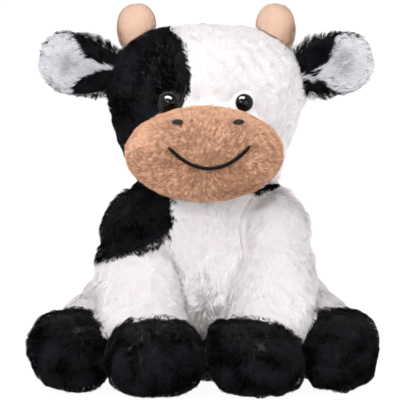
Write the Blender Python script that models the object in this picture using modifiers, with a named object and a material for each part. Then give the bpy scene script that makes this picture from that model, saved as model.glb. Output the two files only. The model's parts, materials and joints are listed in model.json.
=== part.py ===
"""Seated plush cow, about 27 cm tall, built piece by piece.

Each soft piece is a coarse cage of rings with a Subdivision Surface, cut by the larger piece that
carries it. Limbs, head, ears and tail turn at their seams, so each of those seams is a surface
turned about its own axis. The cow faces -Y, +Z is up, and the floor is at zero.
"""

import math

import bmesh
import bpy
from mathutils import Matrix, Vector
from mathutils.bvhtree import BVHTree

OBJECT_NAME = "plush_cow"

# Clearances
SEAM_GAP = 0.00035
SWING_GAP = 0.001
FLAT_DEPTH = 0.0005
OVERRUN = 0.2

# Torso
TORSO_HEIGHT = 0.156
TORSO_HALF_WIDTH = 0.070
TORSO_HALF_DEPTH = 0.055
# Height, width, depth and lean to the back of each ring
TORSO_RING_SHARES = (
    (0.00, 0.68, 0.68, 0.10),
    (0.10, 0.95, 0.95, 0.10),
    (0.32, 1.04, 1.02, 0.10),
    (0.56, 0.98, 0.90, 0.12),
    (0.78, 0.88, 0.78, 0.14),
    (0.92, 0.78, 0.74, 0.12),
    (1.00, 0.56, 0.54, 0.08),
)

# Head, seated over a domed neck
HEAD_HALF_WIDTH = 0.068
HEAD_HALF_DEPTH = 0.058
HEAD_HALF_HEIGHT = 0.062
HEAD_SETBACK = 0.002
HEAD_NECK_SINK = 0.026
NECK_DOME_RADIUS = 0.042
NECK_DOME_RISE = 0.021
NECK_FOOT_DROP = 0.004
# Height, width and depth of each ring
HEAD_RING_SHARES = (
    (-1.00, 0.42, 0.42),
    (-0.78, 0.72, 0.76),
    (-0.36, 0.97, 1.00),
    (0.12, 1.03, 1.03),
    (0.54, 1.00, 0.98),
    (0.88, 0.80, 0.76),
    (1.05, 0.42, 0.38),
)
HEAD_PATCH_DEPTH = 0.006
# Outline of the black side of the head, seen from the front
HEAD_PATCH_SHARES = (
    (-0.46, 1.30), (-0.40, 0.97), (-0.27, 0.87), (-0.20, 0.69), (-0.165, 0.50), (-0.18, 0.32),
    (-0.235, 0.18), (-0.30, 0.02), (-0.38, -0.24), (-0.42, -0.60), (-0.42, -1.30), (-1.50, -1.30),
    (-1.50, 1.30),
)

# Muzzle
MUZZLE_HALF_WIDTH = 0.056
MUZZLE_HALF_HEIGHT = 0.034
MUZZLE_LENGTH = 0.075
MUZZLE_REACH = 0.045
MUZZLE_DROP = 0.023
MUZZLE_NECK_CLEARANCE = 0.0025
# Distance from the back, width and height of each ring
MUZZLE_RING_SHARES = (
    (0.00, 0.80, 0.80),
    (0.32, 1.02, 1.02),
    (0.66, 1.04, 1.04),
    (0.90, 0.86, 0.82),
    (1.01, 0.50, 0.44),
)

# Embroidered nostrils and mouth, each sunk in a shallow bed of the muzzle
STITCH_PROUD = 0.0006
STITCH_DEPTH = 0.0015
NOSTRIL_SPREAD = 0.0210
NOSTRIL_RISE = 0.0240
NOSTRIL_HALF_WIDTH = 0.0042
NOSTRIL_HALF_HEIGHT = 0.0021
MOUTH_HALF_WIDTH = 0.0285
MOUTH_SHIFT = 0.0022
MOUTH_SAG = 0.0128
MOUTH_CORNER_RISE = 0.0045
MOUTH_THICKNESS = 0.0026
MOUTH_CURVE_POWER = 2.2
MOUTH_STEPS = 14
NOSTRIL_STEPS = 12

# Domed plastic eyes, each held by a washer on its post inside the head
EYE_SPREAD = 0.0270
EYE_RISE = 0.0115
EYE_RADIUS = 0.0064
EYE_HEIGHT = 0.0048
EYE_SEAT_DEPTH = 0.0010
EYE_POST_RADIUS = 0.0019
EYE_POST_LENGTH = 0.0120
EYE_WASHER_RADIUS = 0.0065
EYE_WASHER_THICKNESS = 0.0016
EYE_WASHER_SETBACK = 0.0075
EYE_STEPS = 16
EYE_DOME_STEPS = 5

# Horns
HORN_RADIUS = 0.0142
HORN_LENGTH = 0.0425
HORN_SPREAD = 0.0455
HORN_FOOT_RISE = 0.034
HORN_SETBACK = 0.004
HORN_SPLAY = math.radians(7.0)
# Distance along the horn and radius of each ring
HORN_RING_SHARES = (
    (0.00, 0.66), (0.34, 0.78), (0.60, 1.00), (0.82, 0.99), (0.98, 0.72), (1.06, 0.34),
)

# Ears, each a thick leaf on a seam that runs up the side of the head
EAR_LENGTH = 0.0545
EAR_HALF_HEIGHT = 0.0230
EAR_HALF_THICKNESS = 0.0068
EAR_RISE = 0.0285
EAR_SETBACK = 0.004
EAR_TILT = math.radians(13.0)
EAR_SEAM_HALF_HEIGHT = 0.0170
EAR_SEAM_RADIUS = 0.0062
EAR_SEAM_SINK = 0.0015
EAR_HEAD_CLEARANCE = 0.0026
EAR_LINING_DEPTH = 0.0022
# Distance from the root, height, thickness and rise of each ring
EAR_RING_SHARES = (
    (-0.04, 0.55, 0.62, 0.00),
    (0.22, 0.86, 0.95, -0.02),
    (0.56, 1.06, 1.00, 0.00),
    (0.84, 0.88, 0.80, 0.04),
    (1.01, 0.42, 0.46, 0.08),
)
# Outline of the pale lining, seen from the front
EAR_LINING_SHARES = (
    (0.16, -0.02), (0.40, 0.20), (0.62, 0.48), (0.74, 0.74), (0.86, 0.62), (0.95, 0.30),
    (0.95, -0.05), (0.86, -0.44), (0.74, -0.72), (0.60, -0.66), (0.44, -0.34),
)

# Front legs, each hung from a shoulder that turns about a line across the body
SHOULDER_SPREAD = 0.047
SHOULDER_HALF_WIDTH = 0.0285
SHOULDER_RADIUS = 0.0310
SHOULDER_DROP = 0.0475
SHOULDER_FORWARD = 0.014
FRONT_LEG_HALF_WIDTH = 0.0310
FRONT_LEG_HALF_DEPTH = 0.0290
# Ring places from the shoulder (0) to the middle of the hoof (1), then width and depth
FRONT_LEG_RING_SHARES = (
    (0.00, -0.14, 0.10, 0.46, 0.42),
    (0.00, 0.06, 0.12, 0.88, 0.92),
    (-0.12, 0.32, 0.24, 1.02, 1.02),
    (0.04, 0.58, 0.46, 1.06, 1.04),
    (0.50, 0.82, 0.74, 1.03, 1.04),
    (1.00, 1.04, 1.00, 0.72, 0.78),
)
# Lower edge of the black shoulder patch, seen from the front
SHOULDER_PATCH_SHARES = (
    (-2.20, -0.84), (-1.13, -0.63), (-0.50, -0.43), (0.24, -0.19), (0.60, 0.00), (0.82, 0.20),
    (0.92, 0.50), (1.60, 1.00), (1.60, 3.00), (-2.20, 3.00),
)
FRONT_HOOF_HALF_WIDTH = 0.0356
FRONT_HOOF_HALF_DEPTH = 0.0380
FRONT_HOOF_HEIGHT = 0.0580
FRONT_HOOF_FORWARD = 0.080
FRONT_HOOF_HALF_GAP = 0.0008
# How far the top of each front hoof leans in, as a share of its half width, by side
FRONT_HOOF_LEAN_SHARES = {"left": 0.30, "right": 0.06}
# Height, width, depth and lean to the back of each ring
HOOF_RING_SHARES = (
    (0.00, 0.58, 0.60, 0.00),
    (0.16, 0.90, 0.92, -0.02),
    (0.46, 1.06, 1.05, -0.02),
    (0.76, 0.93, 0.92, 0.04),
    (0.99, 0.56, 0.56, 0.12),
)

# Hind legs, each on a round haunch that turns about an upright line
HAUNCH_SPREAD = 0.060
HAUNCH_BACK = 0.008
HAUNCH_RADIUS = 0.036
HAUNCH_HALF_HEIGHT = 0.0415
HIND_LEG_HALF_WIDTH = 0.031
HIND_LEG_HALF_HEIGHT = 0.034
# Distance from the haunch to the hoof, width, height and middle height of each ring
HIND_LEG_RING_SHARES = (
    (-0.05, 0.62, 0.66, 0.98),
    (0.24, 0.98, 1.02, 0.96),
    (0.56, 1.00, 0.98, 0.88),
    (0.82, 0.88, 0.86, 0.80),
    (1.02, 0.56, 0.56, 0.76),
)
HIND_HOOF_HALF_WIDTH = 0.0300
HIND_HOOF_HALF_DEPTH = 0.0340
HIND_HOOF_HEIGHT = 0.0610
HIND_HOOF_SPREAD = 0.0955
HIND_HOOF_FORWARD = 0.056

# Saddle patch over the shoulders and upper back
SADDLE_DEPTH = 0.006
SADDLE_FRONT = 0.004
# Outline seen from the front, as shares of the torso's half width and height
SADDLE_SHARES = (
    (-1.30, 0.72), (-0.80, 0.66), (-0.40, 0.58), (0.05, 0.56), (0.50, 0.60), (0.85, 0.70),
    (1.30, 0.78), (1.30, 1.30), (-1.30, 1.30),
)

# Tail with its tuft
TAIL_RADIUS = 0.0052
TAIL_ROOT_RADIUS = 0.0072
TAIL_ROOT_HEIGHT = 0.070
TAIL_ROOT_SINK = 0.002
TAIL_LENGTH = 0.044
TAIL_STANDOFF = 0.013
TUFT_RADIUS = 0.0088
TUFT_HALF_LENGTH = 0.0150
# Drop and distance from the back of each ring of the tail, then its radius
TAIL_RING_SHARES = ((-0.06, 0.00, 0.90), (0.20, 0.75, 1.00), (0.60, 1.00, 0.95), (1.00, 1.00, 0.80))
TUFT_RING_SHARES = ((-1.00, 0.50), (-0.45, 0.96), (0.25, 1.02), (0.80, 0.72), (1.02, 0.30))

# Mesh detail
BODY_SIDES = 16
LIMB_SIDES = 12
SMALL_SIDES = 8
LEVELS = 1
SEAT_STEPS = 24
SEAT_ROWS = 12
SMALL_SEAT_STEPS = 16
SMALL_SEAT_ROWS = 8
MERGE_SHARE = 0.1
SHARPEST_CORNER_SHARE = 0.5

# Materials: colour, roughness
BLACK_PLUSH = ("black_plush", (0.010, 0.010, 0.012), 0.95)
WHITE_PLUSH = ("white_plush", (0.86, 0.84, 0.83), 0.95)
TAN_PLUSH = ("tan_plush", (0.58, 0.30, 0.17), 0.95)
LINING_PLUSH = ("lining_plush", (0.66, 0.65, 0.68), 0.95)
HORN_PLUSH = ("horn_plush", (0.80, 0.58, 0.42), 0.90)
EYE_PLASTIC = ("eye_plastic", (0.008, 0.007, 0.007), 0.08)
WASHER_PLASTIC = ("washer_plastic", (0.75, 0.75, 0.72), 0.45)
NOSTRIL_THREAD = ("nostril_thread", (0.060, 0.052, 0.055), 0.70)
MOUTH_THREAD = ("mouth_thread", (0.012, 0.010, 0.010), 0.70)

# The toy's own left is at +X
SIDES = ((1.0, "left"), (-1.0, "right"))
X = Vector((1.0, 0.0, 0.0))
Y = Vector((0.0, 1.0, 0.0))
Z = Vector((0.0, 0.0, 1.0))


# Scene helpers
def clear_scene():
    """Remove every object, so that the model starts in an empty scene."""
    for obj in list(bpy.data.objects):
        bpy.data.objects.remove(obj, do_unlink=True)


def collection(name):
    """Return a new collection under the scene."""
    group = bpy.data.collections.new(name)
    bpy.context.scene.collection.children.link(group)
    return group


def material(finish):
    """Return the Principled material of a finish, made once."""
    name, colour, roughness = finish
    if name in bpy.data.materials:
        return bpy.data.materials[name]
    made = bpy.data.materials.new(name)
    made.use_nodes = True
    shader = made.node_tree.nodes["Principled BSDF"]
    shader.inputs["Base Color"].default_value = (*colour, 1.0)
    shader.inputs["Roughness"].default_value = roughness
    shader.inputs["Metallic"].default_value = 0.0
    return made


class Workshop:
    """The parts and the cutters of the model, each in its own collection."""

    def __init__(self):
        self.parts = collection(OBJECT_NAME)
        self.cutters = collection(OBJECT_NAME + "_cutters")
        self.root = bpy.data.objects.new(OBJECT_NAME + "_root", None)
        self.parts.objects.link(self.root)

    def cutter(self, name, mesh):
        """Add a mesh that only cuts or guides."""
        obj = bpy.data.objects.new(name, mesh)
        self.cutters.objects.link(obj)
        obj.hide_render = True
        obj.display_type = "WIRE"
        obj.parent = self.root
        return obj

    def part(self, name, source, finish):
        """Add a piece that starts as a copy of a cutter with its modifiers."""
        mesh = source.data.copy()
        mesh.name = name
        obj = source.copy()
        obj.name = name
        obj.data = mesh
        obj.hide_render = False
        obj.display_type = "TEXTURED"
        self.parts.objects.link(obj)
        mesh.materials.clear()
        mesh.materials.append(material(finish))
        return obj

    def pivot(self, name, place, parent=None):
        """Add the empty that a moving piece turns about."""
        empty = bpy.data.objects.new(name, None)
        self.parts.objects.link(empty)
        attach(empty, parent or self.root)
        empty.matrix_basis = Matrix.Translation(place)
        return empty


def carried(parent):
    """World matrix of a pivot, worked out from its own values and its parents'."""
    if parent is None:
        return Matrix.Identity(4)
    return carried(parent.parent) @ parent.matrix_parent_inverse @ parent.matrix_basis


def attach(obj, parent):
    """Parent an object and leave it where it is."""
    obj.parent = parent
    obj.matrix_parent_inverse = carried(parent).inverted()


# Mesh helpers
def mesh_from(name, bm):
    """Close a bmesh into mesh data that is shaded smooth."""
    bmesh.ops.recalc_face_normals(bm, faces=bm.faces)
    mesh = bpy.data.meshes.new(name)
    bm.to_mesh(mesh)
    bm.free()
    mesh.shade_smooth()
    return mesh


def ring_cage(name, rings, sides):
    """Closed cage through rings, each a centre and the two half axes of its ellipse."""
    swell = 6.0 / (4.0 + 2.0 * math.cos(2.0 * math.pi / sides))
    bm = bmesh.new()
    loops = []
    for centre, across, deep in rings:
        loop = []
        for step in range(sides):
            turn = 2.0 * math.pi * step / sides
            loop.append(bm.verts.new(centre + swell * (math.cos(turn) * across + math.sin(turn) * deep)))
        loops.append(loop)
    for low, high in zip(loops, loops[1:]):
        for step in range(sides):
            following = (step + 1) % sides
            bm.faces.new((low[step], low[following], high[following], high[step]))
    bm.faces.new(loops[0])
    bm.faces.new(loops[-1])
    return mesh_from(name, bm)


def swollen(obj):
    """Round a cage off with a Subdivision Surface."""
    smooth = obj.modifiers.new("Swell", "SUBSURF")
    smooth.levels = LEVELS
    smooth.render_levels = LEVELS
    return obj


def moved_out(obj, distance):
    """Move a surface out by a distance, or in by a negative one."""
    offset = obj.modifiers.new("Offset", "DISPLACE")
    offset.direction = "NORMAL"
    offset.mid_level = 0.0
    offset.strength = distance
    return obj


def soft_form(shop, name, rings, sides):
    """A cage with its Subdivision Surface, kept among the cutters."""
    return swollen(shop.cutter(name, ring_cage(name, rings, sides)))


def grown(shop, form, name, distance):
    """A copy of a form, larger by a distance all round, or smaller by a negative one."""
    return moved_out(swollen(shop.cutter(name, form.data)), distance)


def ball(shop, name, centre, radii, axis, steps=SEAT_STEPS, rows=SEAT_ROWS):
    """A ball stretched along its axis, turned true about it."""
    bm = bmesh.new()
    bmesh.ops.create_uvsphere(bm, u_segments=steps, v_segments=rows, radius=1.0)
    stretch = Matrix.Diagonal((radii[0], radii[0], radii[1], 1.0))
    turn = Z.rotation_difference(axis).to_matrix().to_4x4()
    bmesh.ops.transform(bm, matrix=Matrix.Translation(centre) @ turn @ stretch, verts=bm.verts)
    return shop.cutter(name, mesh_from(name, bm))


def box(shop, name, low, high):
    """A box between two corners."""
    bm = bmesh.new()
    bmesh.ops.create_cube(bm, size=1.0)
    size = Vector(high) - Vector(low)
    middle = (Vector(high) + Vector(low)) / 2.0
    shift = Matrix.Translation(middle) @ Matrix.Diagonal((*size, 1.0))
    bmesh.ops.transform(bm, matrix=shift, verts=bm.verts)
    return shop.cutter(name, mesh_from(name, bm))


def slab(shop, name, outline, near, far, margin=0.0):
    """A flat outline in X and Z, widened by a margin and extruded along Y from near to far."""
    curve = bpy.data.curves.new(name, "CURVE")
    curve.dimensions = "2D"
    curve.fill_mode = "BOTH"
    curve.extrude = (far - near) / 2.0
    spline = curve.splines.new("POLY")
    spline.points.add(len(outline) - 1)
    for point, (across, up) in zip(spline.points, widened(outline, margin)):
        point.co = (across, up, 0.0, 1.0)
    spline.use_cyclic_u = True
    guide = bpy.data.objects.new(name + "_outline", curve)
    bpy.context.scene.collection.objects.link(guide)
    graph = bpy.context.evaluated_depsgraph_get()
    mesh = bpy.data.meshes.new_from_object(guide.evaluated_get(graph))
    bpy.data.objects.remove(guide)
    bm = bmesh.new()
    bm.from_mesh(mesh)
    bpy.data.meshes.remove(mesh)
    bmesh.ops.remove_doubles(bm, verts=bm.verts, dist=SEAM_GAP * MERGE_SHARE)
    upright = Matrix.Translation(Y * (near + far) / 2.0) @ Matrix.Rotation(math.pi / 2.0, 4, "X")
    bmesh.ops.transform(bm, matrix=upright, verts=bm.verts)
    return shop.cutter(name, mesh_from(name, bm))


def widened(outline, margin):
    """The outline with each corner moved out along its two edges' normals."""
    points = [Vector(point) for point in outline]
    area = sum(a.x * b.y - b.x * a.y for a, b in zip(points, points[1:] + points[:1]))
    side = math.copysign(margin, area)
    moved = []
    for index, point in enumerate(points):
        before = (point - points[index - 1]).normalized()
        after = (points[(index + 1) % len(points)] - point).normalized()
        normal = Vector((before.y + after.y, -before.x - after.x)).normalized()
        lean = max(normal.dot(Vector((after.y, -after.x))), SHARPEST_CORNER_SHARE)
        moved.append(point + normal * side / lean)
    return moved


def boolean(obj, other, operation):
    """Add a Boolean with another closed mesh; the exact solver leaves holes at these thin seams."""
    step = obj.modifiers.new(operation.title(), "BOOLEAN")
    step.operation = operation
    step.solver = "MANIFOLD"
    step.object = other


def cut(obj, *cutters):
    """Take each cutter away from an object."""
    for cutter in cutters:
        boolean(obj, cutter, "DIFFERENCE")


def evaluated_bvh(obj):
    """Search tree of an object's surface with its modifiers on."""
    return BVHTree.FromObject(obj, bpy.context.evaluated_depsgraph_get())


def corners(obj):
    """World place of each corner of an object's surface with its modifiers on."""
    shape = obj.evaluated_get(bpy.context.evaluated_depsgraph_get())
    return [shape.matrix_world @ vertex.co for vertex in shape.data.vertices]


def stand(form):
    """Move a form so that the floor cuts it to the flat's depth."""
    drop = min(corner.z for corner in corners(form)) + FLAT_DEPTH
    form.data.transform(Matrix.Translation(-drop * Z))


def reach(tree, start, direction):
    """Where a ray from inside a form leaves it, and the surface's normal there."""
    place, normal, _, _ = tree.ray_cast(start, direction)
    return place, normal


# Torso and neck
def head_centre():
    """Middle of the head, whose underside sinks over the neck."""
    return Vector((0.0, HEAD_SETBACK, TORSO_HEIGHT - HEAD_NECK_SINK + HEAD_HALF_HEIGHT))


def neck_dome_centre():
    """Middle of the ball whose top is the neck."""
    top = head_centre().z - HEAD_HALF_HEIGHT + NECK_DOME_RISE
    return Vector((0.0, HEAD_SETBACK, top - NECK_DOME_RADIUS))


def torso_form(shop):
    """Pear-shaped body with broad shoulders."""
    rings = []
    for height, width, depth, lean in TORSO_RING_SHARES:
        centre = Vector((0.0, lean * TORSO_HALF_DEPTH, height * TORSO_HEIGHT))
        rings.append((centre, width * TORSO_HALF_WIDTH * X, depth * TORSO_HALF_DEPTH * Y))
    form = soft_form(shop, "torso_form", rings, BODY_SIDES)
    stand(form)
    return form


def head_rings(half_depth):
    """Rings of the head with a given half depth."""
    rings = []
    for height, width, depth in HEAD_RING_SHARES:
        centre = head_centre() + height * HEAD_HALF_HEIGHT * Z
        rings.append((centre, width * HEAD_HALF_WIDTH * X, depth * half_depth * Y))
    return rings


def head_sweep(shop):
    """The round space that the head turns in."""
    rings = [(c, a, a.length * Y) for c, a, _ in head_rings(HEAD_HALF_WIDTH)]
    return moved_out(soft_form(shop, "head_sweep", rings, BODY_SIDES), SWING_GAP)


def head_patch_slab(shop, name, margin):
    """The side of the head that the black patch covers."""
    centre = head_centre()
    outline = [
        (across * HEAD_HALF_WIDTH, centre.z + up * HEAD_HALF_HEIGHT) for across, up in HEAD_PATCH_SHARES
    ]
    return slab(shop, name, outline, -OVERRUN, OVERRUN, margin)


def neck_dome(shop, name, extra):
    """The domed neck, grown by an extra radius, from just below the head's underside up."""
    radius = NECK_DOME_RADIUS + extra
    dome = ball(shop, name, neck_dome_centre(), (radius, radius), Z)
    level = head_centre().z - HEAD_HALF_HEIGHT - NECK_FOOT_DROP - extra
    below = box(shop, name + "_below", (-OVERRUN, -OVERRUN, -OVERRUN), (OVERRUN, OVERRUN, level))
    cut(dome, below)
    return dome


def saddle_slab(shop, name, margin):
    """The region of the back that the saddle patch covers."""
    outline = [(across * TORSO_HALF_WIDTH, up * TORSO_HEIGHT) for across, up in SADDLE_SHARES]
    return slab(shop, name, outline, SADDLE_FRONT - margin, OVERRUN, margin)


# Head pieces
def muzzle_form(shop):
    """Wide rounded muzzle that runs back into the head."""
    front = head_centre().y - HEAD_HALF_DEPTH - MUZZLE_REACH
    rings = []
    for along, width, height in MUZZLE_RING_SHARES:
        centre = Vector((0.0, front + (1.0 - along) * MUZZLE_LENGTH, head_centre().z - MUZZLE_DROP))
        rings.append((centre, width * MUZZLE_HALF_WIDTH * X, height * MUZZLE_HALF_HEIGHT * Z))
    return soft_form(shop, "muzzle_form", rings, BODY_SIDES)


def horn_form(shop, name, side):
    """Round-ended finger on the top corner of the head."""
    foot = head_centre() + Vector((side * HORN_SPREAD, HORN_SETBACK, HORN_FOOT_RISE))
    along = (math.cos(HORN_SPLAY) * Z + side * math.sin(HORN_SPLAY) * X)
    across = (math.cos(HORN_SPLAY) * X - side * math.sin(HORN_SPLAY) * Z)
    rings = []
    for distance, radius in HORN_RING_SHARES:
        wide = radius * HORN_RADIUS
        rings.append((foot + distance * HORN_LENGTH * along, wide * across, wide * Y))
    return soft_form(shop, name, rings, SMALL_SIDES)


def mouth_outline():
    """Smile seen from the front: an arc of even thickness."""
    centre = head_centre().z - MUZZLE_DROP
    upper = []
    lower = []
    for step in range(MOUTH_STEPS + 1):
        share = 2.0 * step / MOUTH_STEPS - 1.0
        across = MOUTH_SHIFT + share * MOUTH_HALF_WIDTH
        up = centre + MOUTH_CORNER_RISE - MOUTH_SAG * (1.0 - abs(share) ** MOUTH_CURVE_POWER)
        taper = MOUTH_THICKNESS / 2.0
        upper.append((across, up + taper))
        lower.append((across, up - taper))
    return lower + upper[::-1]


def nostril_outline(side):
    """Flat oval above the smile."""
    centre = head_centre().z - MUZZLE_DROP + NOSTRIL_RISE
    points = []
    for step in range(NOSTRIL_STEPS):
        turn = 2.0 * math.pi * step / NOSTRIL_STEPS
        across = side * NOSTRIL_SPREAD + NOSTRIL_HALF_WIDTH * math.cos(turn)
        points.append((across, centre + NOSTRIL_HALF_HEIGHT * math.sin(turn)))
    return points


def turned(shop, name, profile, place, axis, steps, closed=False):
    """A profile of radius and height turned about an axis through a place."""
    mesh = bpy.data.meshes.new(name)
    edges = [(index, index + 1) for index in range(len(profile) - 1)]
    if closed:
        edges.append((len(profile) - 1, 0))
    mesh.from_pydata([(radius, 0.0, height) for radius, height in profile], edges, [])
    obj = shop.cutter(name, mesh)
    screw = obj.modifiers.new("Turn", "SCREW")
    screw.steps = steps
    screw.render_steps = steps
    screw.use_merge_vertices = True
    screw.merge_threshold = SEAM_GAP * MERGE_SHARE
    obj.matrix_basis = Matrix.Translation(place) @ Z.rotation_difference(axis).to_matrix().to_4x4()
    return obj


def eye_profile(extra):
    """Half section of the dome and its post, top to bottom, grown by an extra."""
    dome = []
    for step in range(EYE_DOME_STEPS + 1):
        turn = math.pi / 2.0 * step / EYE_DOME_STEPS
        dome.append(((EYE_RADIUS + extra) * math.sin(turn), (EYE_HEIGHT + extra) * math.cos(turn)))
    seat = -EYE_SEAT_DEPTH - extra
    foot = -EYE_POST_LENGTH - extra
    post = EYE_POST_RADIUS + extra
    return dome + [(EYE_RADIUS + extra, seat), (post, seat), (post, foot), (0.0, foot)]


def washer_profile():
    """Section of the washer, top to bottom on its outer side."""
    top = -EYE_WASHER_SETBACK
    foot = top - EYE_WASHER_THICKNESS
    bore = EYE_POST_RADIUS + SEAM_GAP
    return [(bore, top), (EYE_WASHER_RADIUS, top), (EYE_WASHER_RADIUS, foot), (bore, foot)]


def washer_room_profile():
    """Half section of the pocket that the washer lies in."""
    top = -EYE_WASHER_SETBACK + SEAM_GAP
    foot = -EYE_WASHER_SETBACK - EYE_WASHER_THICKNESS - SEAM_GAP
    rim = EYE_WASHER_RADIUS + SEAM_GAP
    return [(0.0, top), (rim, top), (rim, foot), (0.0, foot)]


# Ears
def ear_root(tree, side):
    """Middle of the ear's seam on the side of the head."""
    level = head_centre() + Vector((0.0, EAR_SETBACK, EAR_RISE))
    place, _ = reach(tree, level, side * X)
    return place - side * EAR_SEAM_SINK * X


def ear_axes(side):
    """Directions along the ear and up it."""
    along = side * math.cos(EAR_TILT) * X + math.sin(EAR_TILT) * Z
    up = math.cos(EAR_TILT) * Z - side * math.sin(EAR_TILT) * X
    return along, up


def ear_form(shop, name, root, side):
    """Thick leaf that widens from its root and rounds off at the tip."""
    along, up = ear_axes(side)
    rings = []
    for distance, height, thickness, rise in EAR_RING_SHARES:
        centre = root + distance * EAR_LENGTH * along + rise * EAR_HALF_HEIGHT * up
        rings.append((centre, height * EAR_HALF_HEIGHT * up, thickness * EAR_HALF_THICKNESS * Y))
    return soft_form(shop, name, rings, LIMB_SIDES)


def lining_slab(shop, name, root, side, margin):
    """The front region of the ear that its pale lining covers."""
    along, up = ear_axes(side)
    outline = []
    for distance, rise in EAR_LINING_SHARES:
        place = root + distance * EAR_LENGTH * along + rise * EAR_HALF_HEIGHT * up
        outline.append((place.x, place.z))
    return slab(shop, name, outline, -OVERRUN, root.y, margin)


# Legs
def shoulder_centre(side):
    """Middle of the shoulder ball."""
    return Vector((side * SHOULDER_SPREAD, -SHOULDER_FORWARD, TORSO_HEIGHT - SHOULDER_DROP))


def front_hoof_centre(side):
    """Place on the floor under the middle of the front hoof."""
    return Vector((side * (FRONT_HOOF_HALF_WIDTH + FRONT_HOOF_HALF_GAP), -FRONT_HOOF_FORWARD, 0.0))


def hind_hoof_centre(side):
    """Place on the floor under the middle of the hind hoof."""
    return Vector((side * HIND_HOOF_SPREAD, -HIND_HOOF_FORWARD, 0.0))


def haunch_centre(side):
    """Middle of the haunch, which the floor cuts flat."""
    return Vector((side * HAUNCH_SPREAD, HAUNCH_BACK, HAUNCH_HALF_HEIGHT - FLAT_DEPTH))


def hoof_form(shop, name, place, half_width, half_depth, height, inward=0.0):
    """Plump hoof with a flat sole, whose top leans along X by a distance."""
    rings = []
    for level, width, depth, lean in HOOF_RING_SHARES:
        centre = place + lean * half_depth * Y + level * height * Z + level ** 2 * inward * X
        rings.append((centre, width * half_width * X, depth * half_depth * Y))
    form = soft_form(shop, name, rings, LIMB_SIDES)
    stand(form)
    return form


def front_leg_form(shop, name, side):
    """Leg that swells from the shoulder down to the hoof."""
    start = shoulder_centre(side)
    end = front_hoof_centre(side) + FRONT_HOOF_HEIGHT / 2.0 * Z
    span = end - start
    rings = []
    for across, down, forward, width, depth in FRONT_LEG_RING_SHARES:
        centre = start + Vector((across * span.x, forward * span.y, down * span.z))
        rings.append((centre, width * FRONT_LEG_HALF_WIDTH * X, depth * FRONT_LEG_HALF_DEPTH * Y))
    return soft_form(shop, name, rings, LIMB_SIDES)


def hind_leg_form(shop, name, side):
    """Leg that runs out from the haunch to the hoof."""
    start = haunch_centre(side)
    end = hind_hoof_centre(side)
    span = Vector((end.x - start.x, end.y - start.y, 0.0))
    across = span.normalized().cross(Z)
    rings = []
    for distance, width, height, level in HIND_LEG_RING_SHARES:
        centre = start + distance * span
        centre.z = level * start.z
        rings.append((centre, width * HIND_LEG_HALF_WIDTH * across, height * HIND_LEG_HALF_HEIGHT * Z))
    return soft_form(shop, name, rings, LIMB_SIDES)


def shoulder_slab(shop, name, margin):
    """The region of the toy's right front leg above its black patch's lower edge."""
    centre = shoulder_centre(-1.0)
    outline = [
        (centre.x + across * SHOULDER_HALF_WIDTH, centre.z + up * SHOULDER_RADIUS)
        for across, up in SHOULDER_PATCH_SHARES
    ]
    return slab(shop, name, outline, -OVERRUN, OVERRUN, margin)


# Tail
def tail_root(tree):
    """Middle of the tail's seam on the back."""
    place, _ = reach(tree, Vector((0.0, 0.0, TAIL_ROOT_HEIGHT)), Y)
    return place - TAIL_ROOT_SINK * Y


def tail_form(shop, root):
    """Cord of the tail, from its seam down behind the back."""
    rings = []
    for drop, away, radius in TAIL_RING_SHARES:
        centre = root - drop * TAIL_LENGTH * Z + away * TAIL_STANDOFF * Y
        rings.append((centre, radius * TAIL_RADIUS * X, radius * TAIL_RADIUS * Y))
    return soft_form(shop, "tail_form", rings, SMALL_SIDES)


def tuft_form(shop, root):
    """Teardrop tuft at the end of the tail."""
    middle = root - (TAIL_LENGTH + TUFT_HALF_LENGTH / 2.0) * Z + TAIL_STANDOFF * Y
    rings = []
    for along, radius in TUFT_RING_SHARES:
        centre = middle - along * TUFT_HALF_LENGTH * Z
        rings.append((centre, radius * TUFT_RADIUS * X, radius * TUFT_RADIUS * Y))
    return soft_form(shop, "tuft_form", rings, SMALL_SIDES)


# Assembly
def panel(shop, name, form, region, finish, depth, proud=0.0):
    """A panel of a form's skin inside a region, down to a depth."""
    outer = grown(shop, form, name + "_skin", proud) if proud else form
    piece = shop.part(name, region, finish)
    boolean(piece, outer, "INTERSECT")
    cut(piece, grown(shop, form, name + "_bed", -depth))
    return piece


def recess(shop, name, form, region, depth):
    """The cutter that makes room for a panel in a form."""
    cut(region, grown(shop, form, name + "_floor", -depth - SEAM_GAP))
    return region


def joined(obj, *others):
    """Join each other closed mesh to an object."""
    for other in others:
        boolean(obj, other, "UNION")


def build_torso(shop, floor):
    """Torso and its saddle patch, under the round space that the head turns in."""
    form = torso_form(shop)
    torso = shop.part("torso", form, WHITE_PLUSH)
    region = saddle_slab(shop, "saddle_region", 0.0)
    saddle = panel(shop, "saddle_patch", form, region, BLACK_PLUSH, SADDLE_DEPTH)
    room = recess(shop, "saddle_room", form, saddle_slab(shop, "saddle_room", SEAM_GAP), SADDLE_DEPTH)
    sweep = head_sweep(shop)
    cut(torso, room, sweep, floor)
    joined(torso, neck_dome(shop, "neck_ball", 0.0))
    cut(saddle, sweep, neck_dome(shop, "neck_ball_room", SEAM_GAP))
    return form, torso, saddle


def build_head(shop):
    """Head and its black patch, before the pieces that they carry."""
    form = soft_form(shop, "head_form", head_rings(HEAD_HALF_DEPTH), BODY_SIDES)
    head = shop.part("head", form, WHITE_PLUSH)
    region = head_patch_slab(shop, "head_patch_region", 0.0)
    patch = panel(shop, "head_patch", form, region, BLACK_PLUSH, HEAD_PATCH_DEPTH)
    wider = head_patch_slab(shop, "head_patch_room", SEAM_GAP)
    cut(head, recess(shop, "head_patch_room", form, wider, HEAD_PATCH_DEPTH))
    neck_room = neck_dome(shop, "neck_room", SEAM_GAP)
    cut(head, neck_room)
    cut(patch, neck_room)
    return form, head, patch


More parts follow.
